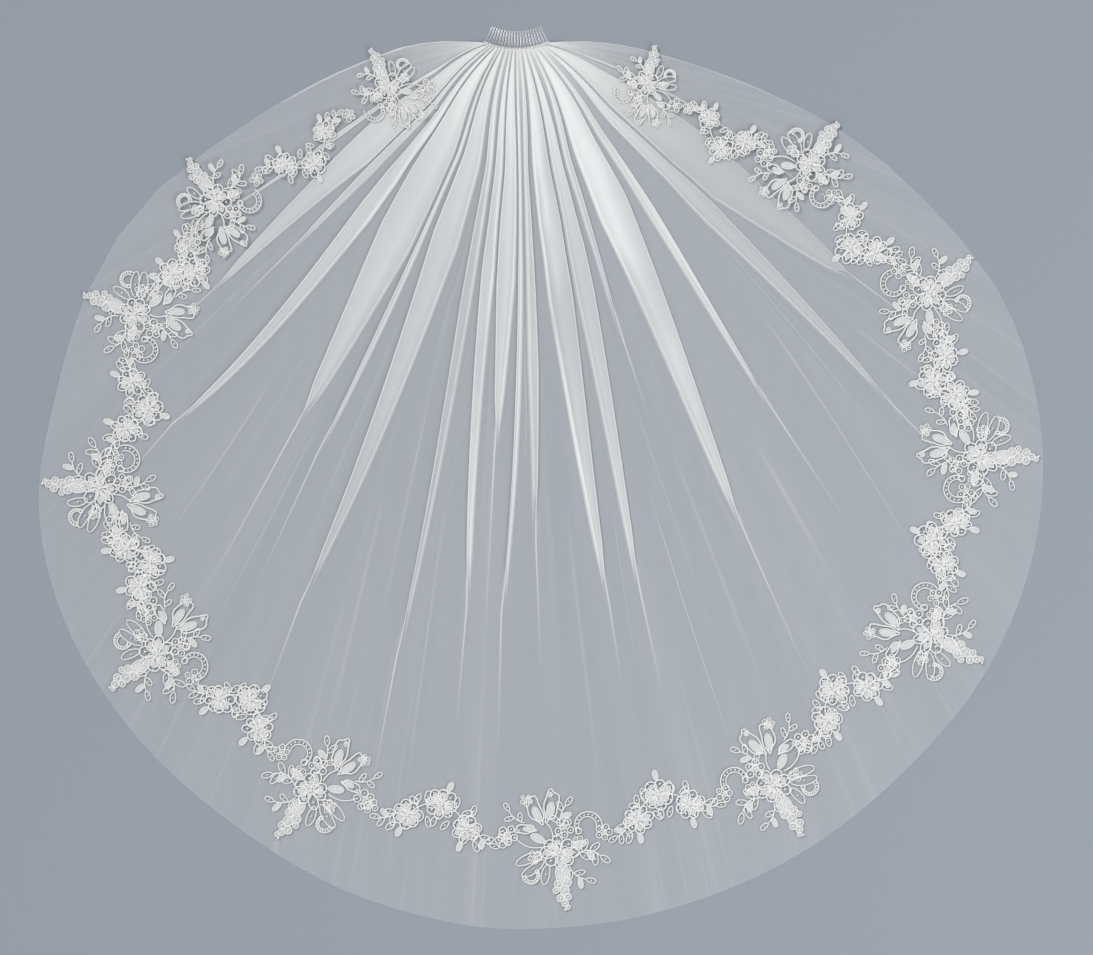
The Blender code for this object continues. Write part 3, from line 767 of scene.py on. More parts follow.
LEFT, RIGHT = Lean.LEFT, Lean.RIGHT
FOLDS: list[Union[Pleat, Crease]] = [
    # left side, from the edge inwards
    Crease(-80.0, -78.0, -76.0, 12.0, 0.18, 0.70, 1.0, 0.10),
    Pleat(-72.0, -62.5, -60.0, 8.0, 0.37, 0.64, LEFT, 0.78),
    Crease(-58.5, -56.5, -55.5, 5.0, 0.52, 0.82, 1.2, 0.22),
    Pleat(-57.5, -53.5, -50.5, 60.0, 0.24, 0.64, LEFT, 0.84, 0.16),
    Pleat(-48.0, -47.0, -46.5, 13.0, 0.24, 0.46, LEFT, 0.6),
    Pleat(-43.5, -40.0, -42.0, 22.0, 0.30, 0.72, LEFT, 0.84, 0.1),
    Crease(-35.5, -35.2, -35.4, 4.0, 0.52, 0.84, 1.0, 0.25),
    Pleat(-34.5, -30.5, -29.5, 60.0, 0.20, 0.56, LEFT, 0.8, 0.3),
    Crease(-27.0, -27.2, -27.6, 7.0, 0.50, 0.86, 1.2, 0.12),
    Pleat(-24.5, -24.5, -25.5, 4.0, 0.37, 0.56, LEFT, 0.75),
    Pleat(-18.5, -19.0, -21.0, 33.0, 0.24, 0.72, LEFT, 0.86, 0.16),
    Crease(-16.2, -15.6, -15.2, 10.0, 0.52, 0.88, 1.4, 0.13),
    Crease(-13.4, -13.2, -13.0, 6.0, 0.40, 0.74, 1.2, 0.12),
    Pleat(-12.0, -10.5, -11.0, 11.0, 0.30, 0.72, LEFT, 0.88),
    Crease(-8.6, -8.5, -8.4, 8.0, 0.50, 0.90, 1.4, 0.14),
    Pleat(-7.5, -6.6, -5.0, 14.0, 0.24, 0.64, LEFT, 0.78),
    # middle
    Pleat(-2.4, -2.6, -3.0, 25.0, 0.20, 0.46, LEFT, 0.66, 0.24),
    Pleat(1.2, 0.4, -1.5, 3.0, 0.40, 0.64, LEFT, 0.80),
    Crease(3.4, 2.2, 0.9, 3.0, 0.16, 0.50, 1.2, 0.30),
    Pleat(4.6, 3.4, 2.2, 10.0, 0.36, 0.56, RIGHT, 0.72),
    Crease(6.0, 6.2, 6.4, 9.0, 0.50, 0.88, 1.4, 0.12),
    # right side, from the middle outwards
    Pleat(10.8, 9.5, 9.3, 33.0, 0.20, 0.64, RIGHT, 0.74, 0.24),
    Crease(11.6, 11.0, 10.9, 3.0, 0.50, 0.78, 1.1, 0.25),
    Pleat(18.3, 14.5, 12.6, 23.0, 0.24, 0.64, RIGHT, 0.76, 0.18),
    Crease(16.2, 16.6, 17.2, 3.5, 0.52, 0.88, 1.2, 0.30),
    Crease(17.6, 18.0, 18.6, 3.0, 0.40, 0.68, 1.0, 0.22),
    Pleat(23.5, 20.5, 19.0, 7.0, 0.15, 0.36, RIGHT, 0.46),
    Crease(20.5, 20.8, 21.0, 9.0, 0.48, 0.84, 1.3, 0.12),
    Pleat(32.5, 27.2, 24.8, 41.0, 0.22, 0.64, RIGHT, 0.84, 0.25),
    Crease(30.5, 30.5, 30.5, 14.0, 0.54, 0.80, 1.6, 0.14),
    Pleat(41.5, 36.5, 34.5, 10.0, 0.26, 0.56, RIGHT, 0.72),
    Crease(41.5, 39.5, 37.9, 3.5, 0.46, 0.86, 1.1, 0.30),
    Crease(44.5, 43.6, 42.6, 3.0, 0.34, 0.72, 1.1, 0.28),
    Pleat(47.5, 47.3, 46.0, 28.0, 0.30, 0.72, RIGHT, 0.86, 0.24),
    Crease(49.6, 50.2, 51.0, 6.0, 0.60, 0.86, 1.2, 0.20),
    Pleat(63.5, 57.0, 55.0, 100.0, 0.26, 0.64, RIGHT, 0.84, 0.18),
    Pleat(80.0, 72.0, 63.5, 7.0, 0.37, 0.56, RIGHT, 0.70),
    Crease(84.0, 80.0, 76.0, 10.0, 0.25, 0.62, 1.0, 0.12),
    Crease(88.0, 85.0, 82.0, 5.0, 0.34, 0.60, 1.0, 0.15),
]


class HemFold(NamedTuple):
    """A narrow band along the hem where the raw edge has turned over."""

    start_bearing: float
    end_bearing: float
    inset: float
    width: float
    mark: float


HEM_FOLDS = [
    HemFold(-97.5, -76.0, 9.0, 10.0, 0.62),
    HemFold(78.0, 97.5, 7.0, 7.0, 0.42),
]


@dataclass
class Net:
    """The gathered panel of net, one thin sheet with every pleat and crease in it."""

    fan: Fan = Fan()
    rows: int = 158
    row_power: float = 1.35
    between_columns: int = 3
    side_columns: int = 9
    spread_by: float = 0.15
    clearance: float = 0.35
    slope_at_comb: float = 1.4
    slope: float = 4.5
    layer_height: float = 0.5
    gather_length: float = 58.0
    pleat_gather_length: float = 115.0
    crease_fill: float = 0.8
    crease_gap: float = 0.05
    wave_height: float = 0.7
    flat_width: float = 1.50
    flat_length: float = 1.12
    flat_area: float = 1.52

    WAVE_ACROSS = (46.0, 71.0)
    WAVE_DOWN = 310.0
    WAVE_SHIFT = 1.3
    WAVE_START = 300.0
    HEM_FADE = 4.0
    BAND_FADE = 2.5

    def heading_bearings(self) -> Array:
        """Bearings that share the gathered edge out among the folds.

        Returns:
            One bearing for each fold, in order.
        """
        bearings = self.fan.bearings
        run = run_along(self.fan.heading(bearings))
        rooms = np.array([fold.heading_room for fold in FOLDS])
        places = (np.cumsum(rooms) - rooms / 2.0) / rooms.sum() * run[-1]
        return np.interp(places, run, bearings)

    def ring(self, share: float, even: Array) -> tuple[Array, ...]:
        """Stations across the net at one share.

        Args:
            share: how far down the net.
            even: each fold's bearing on the gathered edge.

        Returns:
            Bearing, height, fold mark and ply of every station.
        """
        bearings = self.fan.bearings
        run = run_along(self.fan.plan(bearings, share))
        ease = float(smoothstep(share / self.spread_by))
        rays = np.array([fold.bearing(share) for fold in FOLDS])
        middles = np.interp(even + (rays - even) * ease, bearings, run)
        slope = self.slope_at_comb + (self.slope - self.slope_at_comb) * ease
        sections = [fold.section(share, slope) for fold in FOLDS]
        scale = self._fit(middles, sections, float(run[-1]))
        side, between = self.side_columns, self.between_columns
        steps = np.arange(side) / side
        stations, last = [], 0.0
        for middle, factor, section in zip(middles, scale, sections):
            offsets = middle + section.offset * factor
            stations.append(self._plain(last + (offsets[0] - last) * steps))
            stations.append(np.stack([offsets, *section[1:]]))
            last = offsets[-1]
            steps = np.arange(1, between + 1) / (between + 1)
        steps = np.arange(1, side + 1) / side
        stations.append(self._plain(last + (run[-1] - last) * steps))
        places, height, mark, ply = np.hstack(stations)
        return np.interp(places, run, bearings), height, mark, ply

    @staticmethod
    def _plain(places: Array) -> Array:
        """Stations of flat single net, with no height, mark or ply."""
        return np.vstack([places, np.zeros((3, len(places)))])

    def _fit(self, middles: Array, sections: list[Section], end: float) -> Array:
        """Narrow the pleats to their neighbours, and settle the creases in what is left.

        Args:
            middles: each fold's middle along the ring; the creases' are moved.
            sections: each fold's section.
            end: length of the ring.

        Returns:
            A factor for each section's offsets.
        """
        left = np.array([-section.offset.min() for section in sections])
        right = np.array([section.offset.max() for section in sections])
        pleats = [index for index, fold in enumerate(FOLDS) if isinstance(fold, Pleat)]
        room = np.diff(middles[pleats]) - self.clearance * np.diff(pleats)
        fit = np.minimum(np.maximum(room, 0.05) / (right[pleats][:-1] + left[pleats][1:]), 1.0)
        scale = np.ones(len(FOLDS))
        scale[pleats] = np.minimum(np.concatenate((fit, [1.0])), np.concatenate(([1.0], fit)))
        lows = [0.0] + (middles + right * scale)[pleats].tolist()
        highs = (middles - left * scale)[pleats].tolist() + [end]
        for low, high, first, last in zip(lows, highs, [-1] + pleats, pleats + [len(FOLDS)]):
            creases = list(range(first + 1, last))
            if not creases:
                continue
            span = (left + right)[creases].sum()
            share = min(1.0, self.crease_fill * (high - low) / span)
            spare = self.crease_gap * (high - low) / len(creases)
            scale[creases] = share
            for index in creases:
                middles[index] = max(middles[index], low + spare + share * left[index])
                low = middles[index] + share * right[index]
            for index in reversed(creases):
                middles[index] = min(middles[index], high - spare - share * right[index])
                high = middles[index] - share * left[index]
        return scale

    def hem_mark(self, bearing: Array, share: float) -> Array:
        """Fold marks of the turned hem."""
        mark = np.zeros_like(bearing)
        inwards = (1.0 - share) * self.fan.reach(bearing)
        for turned in HEM_FOLDS:
            middle = (turned.start_bearing + turned.end_bearing) / 2.0
            half = (turned.end_bearing - turned.start_bearing) / 2.0
            along = smoothstep((1.0 - np.abs(bearing - middle) / half) * self.HEM_FADE)
            aside = np.abs(inwards - turned.inset) / (turned.width / 2.0)
            across = smoothstep((1.0 - aside) * self.BAND_FADE)
            mark = np.maximum(mark, turned.mark * along * across)
        return mark

    def build(self) -> Piece:
        """Model the net.

        Returns:
            The finished piece.
        """
        even = self.heading_bearings()
        shares = np.linspace(0.0, 1.0, self.rows + 1) ** self.row_power
        across = np.interp(self.ring(1.0, even)[0], *self.fan.hem_lengths())
        side_wave = np.sin(across / self.WAVE_ACROSS[1] + self.WAVE_SHIFT)
        rows = []
        for share in shares.tolist():
            bearing, height, mark, ply = self.ring(share, even)
            travel = self.fan.travel(bearing, share)
            wave = (np.sin(across / self.WAVE_ACROSS[0] + travel / self.WAVE_DOWN) * side_wave
                    * self.wave_height * smoothstep(travel / self.WAVE_START) * (ply <= 0.0))
            level = (self.layer_height + self.fan.lift(bearing, share) + height
                     + np.maximum(wave, 0.0))
            length = np.where(ply > 0.0, self.pleat_gather_length, self.gather_length)
            mark = np.maximum(mark, self.hem_mark(bearing, share))
            rows.append(np.column_stack([self.fan.plan(bearing, share), level, mark, ply,
                                         np.exp(-travel / length), across, travel]))
        working = bmesh.new()
        working.loops.layers.uv.new("cloth")
        bmesh.ops.create_grid(working, x_segments=len(across) - 1, y_segments=self.rows, size=1.0,
                              calc_uvs=True)
        mesh = bpy.data.meshes.new("net")
        working.to_mesh(mesh)
        working.free()
        self._move_grid(mesh, np.array(rows))
        return link_piece("net", mesh, [NetFinish().material()])

    @staticmethod
    def _move_grid(mesh: bpy.types.Mesh, table: Array) -> None:
        """Move an even grid's points onto the net and give it its attributes and map.

        Args:
            mesh: the grid, two units across.
            table: rows and columns of X, Y, Z, fold, ply, gather and the place on the cloth.
        """
        rows, columns = table.shape[:2]
        flat = np.empty(len(mesh.vertices) * 3)
        mesh.vertices.foreach_get("co", flat)
        grid = (flat.reshape(-1, 3) + 1.0) / 2.0
        column = np.rint(grid[:, 0] * (columns - 1)).astype(int)
        row = rows - 1 - np.rint(grid[:, 1] * (rows - 1)).astype(int)
        points = table[row, column]
        mesh.vertices.foreach_set("co", (points[:, :3] * MM).ravel())
        for name, numbers in zip(("fold", "ply", "gather"), points[:, 3:6].T):
            layer = mesh.attributes.new(name, "FLOAT", "POINT")
            layer.data.foreach_set("value", numbers.copy())
        corners = np.empty(len(mesh.loops), dtype=np.int32)
        mesh.loops.foreach_get("vertex_index", corners)
        mesh.uv_layers["cloth"].uv.foreach_set("vector", (points[corners, 6:] * MM).ravel())
        mesh.update()


# Lace


class LacePart(Enum):
    """Material slots of a lace piece."""

    CORD = 0
    SATIN = 1
    PEARL = 2
    SEQUIN = 3


@dataclass(frozen=True)
class Placing:
    """Where a motif lies in plan: its middle, its heading as +Y, its scale and its hand."""

    spot: Vector
    heading: float
    scale: float
    mirrored: bool = False

    def matrix(self) -> Matrix:
        """The placing as a matrix that turns the motif's own +Y to its heading."""
        hand = -1.0 if self.mirrored else 1.0
        return (Matrix.Translation(self.spot)
                @ Matrix.Rotation(math.radians(self.heading - 90.0), 4, "Z")
                @ Matrix.Diagonal((hand * self.scale, self.scale, 1.0, 1.0)))

    def moved(self, x: float, y: float, scale: float = 1.0) -> "Placing":
        """The placing moved within its own frame, and scaled there."""
        return Placing(self.matrix() @ Vector((x, y, 0.0)), self.heading, self.scale * scale,
                       self.mirrored)


def heading_vector(heading: float) -> Array:
    """Unit vector in plan at an angle from +X in degrees."""
    turn = math.radians(heading)
    return np.array([math.cos(turn), math.sin(turn)])


def heading_of(way: Sequence[float]) -> float:
    """Angle of a direction in plan from +X in degrees."""
    return math.degrees(math.atan2(way[1], way[0]))


def loop_path(root: Sequence[float], heading: float, length: float, width: float, count: int,
              point: float, bow: float = 0.0) -> Array:
    """A petal or leaf outline that starts and ends at its root.

    Args:
        root: where it starts, in plan.
        heading: direction it grows in, in degrees.
        length: from root to tip.
        width: across its widest part.
        count: points round it.
        point: more than 0.5 narrows the root, less makes an oval.
        bow: sideways bend of the tip.

    Returns:
        A closed outline in plan.
    """
    along, turn = heading_vector(heading), 2.0 * np.pi * np.arange(count) / count
    aside = np.array([-along[1], along[0]])
    far = (1.0 - np.cos(turn)) / 2.0
    wide = np.sin(turn) * np.power(far + ROOT_WIDTH, point - 0.5) * width / 2.0
    sideways = wide + bow * far ** 2
    return np.array(root) + np.outer(far * length, along) + np.outer(sideways, aside)


def ring_path(centre: Sequence[float], radius: float, count: int) -> Array:
    """A round outline."""
    turn = 2.0 * np.pi * np.arange(count) / count
    return np.array(centre) + radius * np.column_stack([np.cos(turn), np.sin(turn)])


def arc_path(centre: Sequence[float], start_radius: float, end_radius: float, start: float,
             end: float, count: int) -> Array:
    """An open arc or spiral between two angles in degrees."""
    turn = np.radians(np.linspace(start, end, count))
    radius = np.linspace(start_radius, end_radius, count)
    return np.array(centre) + radius[:, None] * np.column_stack([np.cos(turn), np.sin(turn)])


def bowed_path(start: Sequence[float], end: Sequence[float], bow: float, count: int = 9) -> Array:
    """An open cord between two places, bowed to its left."""
    first, last = np.array(start), np.array(end)
    along = last - first
    aside = np.array([-along[1], along[0]]) / np.linalg.norm(along)
    share = np.linspace(0.0, 1.0, count)
    return first + np.outer(share, along) + np.outer(4.0 * share * (1.0 - share) * bow, aside)


def lay_tube(working: bmesh.types.BMesh, spots: Sequence[Vector], diameter: float, closed: bool,
             sides: int = 5, level: Vector = UP) -> None:
    """Wrap a grid into a tube along places in space.

    Args:
        working: where the tube goes.
        spots: places along it, in millimetres.
        diameter: of the tube.
        closed: whether its ends meet.
        sides: faces round it.
        level: a direction that is never along the tube.
    """
    radii = [diameter / 2.0] * len(spots)
    if closed:
        spots, radii = [*spots, spots[0]], [*radii, radii[0]]
    else:
        start, end = (spots[0] - spots[1]).normalized(), (spots[-1] - spots[-2]).normalized()
        spots = [spots[0] + start * diameter * TUBE_NOSE, *spots,
                 spots[-1] + end * diameter * TUBE_NOSE]
        radii = [0.0, *radii, 0.0]
    last = len(spots) - 1
    made = bmesh.ops.create_grid(working, x_segments=last, y_segments=sides, size=1.0)
    frames = []
    for index, spot in enumerate(spots):
        if closed:
            before, after = spots[(index - 1) % last], spots[(index + 1) % last]
        else:
            before, after = spots[max(index - 1, 0)], spots[min(index + 1, last)]
        along = (after - before).normalized()
        aside = level.cross(along).normalized()
        frames.append((spot, aside, along.cross(aside)))
    for vert in made["verts"]:
        index = round((vert.co.x + 1.0) / 2.0 * last)
        turn = 2.0 * math.pi * round((vert.co.y + 1.0) / 2.0 * sides) / sides
        spot, aside, upright = frames[index]
        vert.co = spot + radii[index] * (aside * math.cos(turn) + upright * math.sin(turn))


@dataclass
class Needle:
    """Lays cords, stitched petals, pearls and sequins into one lace piece.

    The base is the height of the lace's underside. Paths and spots are in the frame of the placing
    that was set last.
    """

    name: str
    base: float
    chance: np.random.Generator
    placing: Matrix = field(default_factory=Matrix)
    scale: float = 1.0
    spots: list[Vector] = field(default_factory=list)
    faces: list[list[int]] = field(default_factory=list)
    slots: list[int] = field(default_factory=list)

    KEPT_SIZE = 0.6
    SEQUIN_TOP = 0.8
    SEQUIN_THICKNESS = 0.3

    def place(self, placing: Placing) -> None:
        """Draw what follows at a placing."""
        self.placing, self.scale = placing.matrix(), placing.scale

    def cord(self, path: Array, diameter: float, closed: bool = True, rise: float = 0.0,
             sides: int = 5) -> None:
        """Lay a cord along a path.

        Args:
            path: outline or open line in plan.
            diameter: of the cord.
            closed: whether its ends meet.
            rise: height of its underside above the lace's.
            sides: faces round it.
        """
        thick = self._sized(diameter)
        stitch = bmesh.new()
        lay_tube(stitch, self._world(path, rise + thick / 2.0), thick, closed, sides)
        bmesh.ops.remove_doubles(stitch, verts=stitch.verts, dist=MERGE)
        self._take(stitch, LacePart.CORD)

    def satin(self, path: Array, inset: float = 0.95, rise: float = 0.3,
              crown: float = 0.9) -> None:
        """Fill an outline with close stitches that swell in the middle.

        Args:
            path: closed outline in plan.
            inset: share of the outline that the filling reaches.
            rise: height of its rim above the lace's underside.
            crown: height of its middle above its rim.
        """
        stitch = bmesh.new()
        made = bmesh.ops.create_circle(stitch, cap_ends=True, segments=len(path), radius=1.0)
        centre = path.mean(axis=0)
        rim = self._world(centre + (path - centre) * inset, rise)
        for vert, spot in zip(made["verts"], rim):
            vert.co = spot
        for vert in bmesh.ops.poke(stitch, faces=stitch.faces)["verts"]:
            vert.co.z += crown
        self._take(stitch, LacePart.SATIN)

    def pearl(self, spot: Sequence[float], radius: float, rise: float) -> None:
        """Sew a pearl on."""
        size = self._sized(radius)
        centre = self._world([spot], rise + size)[0]
        stitch = bmesh.new()
        bmesh.ops.create_uvsphere(stitch, u_segments=8, v_segments=5, radius=size,
                                  matrix=Matrix.Translation(centre))
        self._take(stitch, LacePart.PEARL)

    def sequin(self, spot: Sequence[float], radius: float, rise: float) -> None:
        """Sew a flat round sequin on."""
        centre = self._world([spot], rise)[0]
        stitch = bmesh.new()
        bmesh.ops.create_cone(stitch, cap_ends=True, segments=8, radius1=radius,
                              radius2=radius * self.SEQUIN_TOP, depth=self.SEQUIN_THICKNESS,
                              matrix=Matrix.Translation(centre))
        self._take(stitch, LacePart.SEQUIN)

    def _sized(self, size: float) -> float:
        """A cord's or bead's size, which changes less than its motif's."""
        return size * (self.KEPT_SIZE + (1.0 - self.KEPT_SIZE) * self.scale)

    def _world(self, path: Sequence[Sequence[float]], height: float) -> list[Vector]:
        """A path in plan as places in space, at a height above the underside."""
        lift = Vector((0.0, 0.0, self.base + height))
        return [self.placing @ Vector((*spot, 0.0)) + lift for spot in path]

    def _take(self, stitch: bmesh.types.BMesh, part: LacePart) -> None:
        """Add one small shape of one part to the piece and use it up."""
        first = len(self.spots)
        stitch.verts.index_update()
        self.spots.extend(vert.co.copy() for vert in stitch.verts)
        for face in stitch.faces:
            self.faces.append([first + vert.index for vert in face.verts])
            self.slots.append(part.value)
        stitch.free()

    def finish(self, materials: Sequence[Material]) -> Piece:
        """Close the piece.

        Args:
            materials: one for each LacePart, in order.

        Returns:
            The finished piece at the origin.
        """
        mesh = bpy.data.meshes.new("stitches")
        mesh.from_pydata(self.spots, [], self.faces)
        mesh.polygons.foreach_set("material_index", self.slots)
        working = bmesh.new()
        working.from_mesh(mesh)
        bpy.data.meshes.remove(mesh)
        return make_piece(self.name, working, materials)


class Motifs(Needle):
    """The lace's flowers, leaves and scrolls, each drawn round its own middle in millimetres."""

    RINGS = 5
    RING_DISTANCE = 8.2
    RING_RADIUS = 4.3
    HEART_PETALS = 5
    LEAF_TURN = 56.0
    WAVES = 5.0
    WAVE_HEIGHT = 0.11
    TIP_LOOPS = ((21.0, 5.5, 5.6), (22.5, -6.0, 5.2), (31.0, 1.5, 6.4), (30.0, -9.5, 3.6),
                 (39.0, 5.0, 4.4), (40.0, -4.6, 4.8), (47.0, 0.5, 4.2), (52.0, 3.6, 2.9))

    def _uneven(self, spread: float) -> float:
        """A factor near 1 that differs from stitch to stitch."""
        return float(self.chance.uniform(1.0 - spread, 1.0 + spread))

    def _turned(self, spread: float) -> float:
        """A small angle that differs from stitch to stitch."""
        return self.chance.uniform(-spread, spread)

    def rosette(self, petals: int, reach: float, heart: float = 4.6) -> None:
        """A full flower: looped petals partly filled, a small round of petals and a pearl.

        Args:
            petals: how many outer petals.
            reach: from the middle to a petal's tip.
            heart: size of the middle, where the petals start.
        """
        for petal in range(petals):
            heading = 90.0 + 360.0 * petal / petals + self._turned(7.0)
            along = heading_vector(heading)
            root = along * heart * 0.8
            length = (reach - heart * 0.8) * self._uneven(0.13)
            width = reach * 5.1 / petals * self._uneven(0.14)
            lift = 0.35 * (petal % 2)
            self.cord(loop_path(root, heading, length, width, 13, 0.62), 2.1, rise=lift)
            if petal % 4 == 3:
                self.pearl(along * reach * 0.66, 1.5, 0.4)
                continue
            inner = loop_path(root, heading, length * self._uneven(0.1) * 0.74, width * 0.62,
                              10, 0.62)
            self.satin(inner, 1.05, 0.4 + lift)
            self.cord(inner, 1.3, rise=0.5 + lift, sides=4)
            self.sequin(along * reach * 0.86, 1.2, 1.9)
        for petal in range(self.HEART_PETALS):
            heading = 360.0 / self.HEART_PETALS * petal + self._turned(9.0)
            root = heading_vector(heading) * heart * 0.4
            path = loop_path(root, heading, reach * 0.42, reach * 0.34, 10, 0.6)
            self.satin(path, 1.0, 1.2, 0.7)
            self.cord(path, 1.6, rise=1.2, sides=4)
        self.pearl((0.0, 0.0), 2.2, 1.9)

    def ring_flower(self) -> None:
        """Small round loops set about a pearl."""
        for number in range(self.RINGS):
            heading = 90.0 + 360.0 * number / self.RINGS + self._turned(8.0)
            centre = heading_vector(heading) * self.RING_DISTANCE * self._uneven(0.07)
            self.cord(ring_path(centre, self.RING_RADIUS * self._uneven(0.12), 9), 2.0, sides=4)
            self.pearl(centre, 1.3, 0.3)
        self.cord(ring_path((0.0, 0.0), self.RING_RADIUS * 0.62, 8), 1.6, rise=0.6, sides=4)
        self.pearl((0.0, 0.0), 1.7, 0.8)

    def leaf(self, root: Sequence[float], heading: float, length: float, width: float,
             filled: bool = False, bow: float = 0.0) -> None:
        """A looped leaf with a stitched middle or a bead."""
        path = loop_path(root, heading + self._turned(6.0), length, width, 12, 0.6, bow)
        self.cord(path, 1.9, sides=4)
        if filled:
            self.satin(path)
        else:
            self.pearl(path.mean(axis=0), 1.2, 0.2)

    def lobed_leaf(self, root: Sequence[float], heading: float, length: float, width: float,
                   bow: float) -> None:
        """A long wavy leaf with a stitched middle and a stitched patch by its tip."""
        count = 24
        path = loop_path(root, heading, length, width, count, 0.74, bow)
        centre = path.mean(axis=0)
        turn = np.arange(count) * 2.0 * np.pi * self.WAVES / count
        wave = 1.0 + self.WAVE_HEIGHT * np.sin(turn + 0.6)
        path = centre + (path - centre) * wave[:, None]
        self.cord(path, 2.2)
        along = heading_vector(heading)
        inner = loop_path(np.array(root) + along * length * 0.08, heading, length * 0.56,
                          width * 0.52, 12, 0.66, bow * 0.4)
        self.satin(inner, 1.05, 0.3, 1.0)
        self.cord(inner, 1.5, rise=0.3, sides=4)
        patch = path[count // 2] - along * length * 0.13
        self.satin(loop_path(patch - along * length * 0.08, heading + 35.0, length * 0.2,
                             width * 0.36, 10, 0.5), 1.0, 0.3, 0.6)
        self.pearl(patch, 1.3, 1.0)

    def scroll(self, centre: Sequence[float], radius: float, start: float, end: float) -> None:
        """Two cords curled round together with beads between them."""
        outer = arc_path(centre, radius * 0.8, radius, start, end, 18)
        inner = arc_path(centre, radius * 0.56, radius * 0.62, start, end, 16)
        self.cord(outer, 2.0, closed=False)
        self.cord(inner, 1.8, closed=False)
        self.cord(ring_path(inner[0] * 0.5 + outer[0] * 0.5, radius * 0.2, 9), 1.9, rise=0.3)
        for bead in arc_path(centre, radius * 0.68, radius * 0.81, start, end, 12)[1:-1]:
            self.pearl(bead, 1.35, 0.2)

    def twig(self, start: Sequence[float], end: Sequence[float], bow: float, leaves: int,
             length: float) -> None:
        """A bowed stem with looped leaves on both sides and one at its tip."""
        path = bowed_path(start, end, bow, 11)
        self.cord(path, 1.8, closed=False)
        for number in range(leaves):
            joint = 2 + int(number * 8 / leaves)
            heading = heading_of(path[joint + 1] - path[joint])
            side = self.LEAF_TURN if number % 2 else -self.LEAF_TURN
            self.leaf(path[joint], heading + side, length * self._uneven(0.14), length * 0.5,
                      number % 3 == 2)
        self.leaf(path[-1], heading_of(path[-1] - path[-2]), length * 0.95, length * 0.5)

    def bead_tip(self, root: Sequence[float], heading: float) -> None:
        """A pointed stack of loops that gets smaller towards its tip."""
        along = heading_vector(heading)
        aside = np.array([-along[1], along[0]])
        start = np.array(root)
        self.leaf(start - aside * 4.0, heading + 6.0, 24.0, 12.0, True)
        self.leaf(start + aside * 5.0, heading - 8.0, 20.0, 11.0, True)
        for far, side, radius in self.TIP_LOOPS:
            centre = start + along * far + aside * side
            path = ring_path(centre, radius * self._uneven(0.1), 10)
            self.satin(path, 0.9, 0.1, 0.6)
            self.cord(path, 2.0, rise=0.2, sides=4)
            self.pearl(centre, 1.4, 0.7)
        self.pearl(start + along * 55.0, 1.7, 0.2)


class Spray(NamedTuple):
    """A lace spray: the hem's bearing beside it, its inset, scale, bed and hand."""

    bearing: float
    inset: float
    scale: float
    over_pleats: bool
    mirrored: bool


SPRAYS = [
    Spray(-87.0, 46.0, 0.72, True, False),
    Spray(-70.5, 62.0, 0.86, True, True),
    Spray(-60.5, 71.0, 0.95, False, False),
    Spray(-47.4, 82.0, 1.00, False, True),
    Spray(-33.0, 88.0, 1.00, False, False),
    Spray(-16.8, 96.0, 1.00, False, True),
    Spray(3.0, 100.0, 1.00, False, False),
    Spray(20.5, 96.0, 1.00, False, True),
    Spray(37.1, 88.0, 1.00, False, False),
    Spray(52.5, 84.0, 1.00, False, True),
    Spray(65.4, 78.0, 0.95, False, False),
    Spray(76.4, 62.0, 0.86, True, True),
    Spray(88.0, 44.0, 0.66, True, False),
]


def lace_materials() -> list[Material]:
    """One material for each LacePart, in order."""
    finishes = (CordFinish(), SatinFinish(), PearlFinish(), SequinFinish())
    return [finish.material() for finish in finishes]


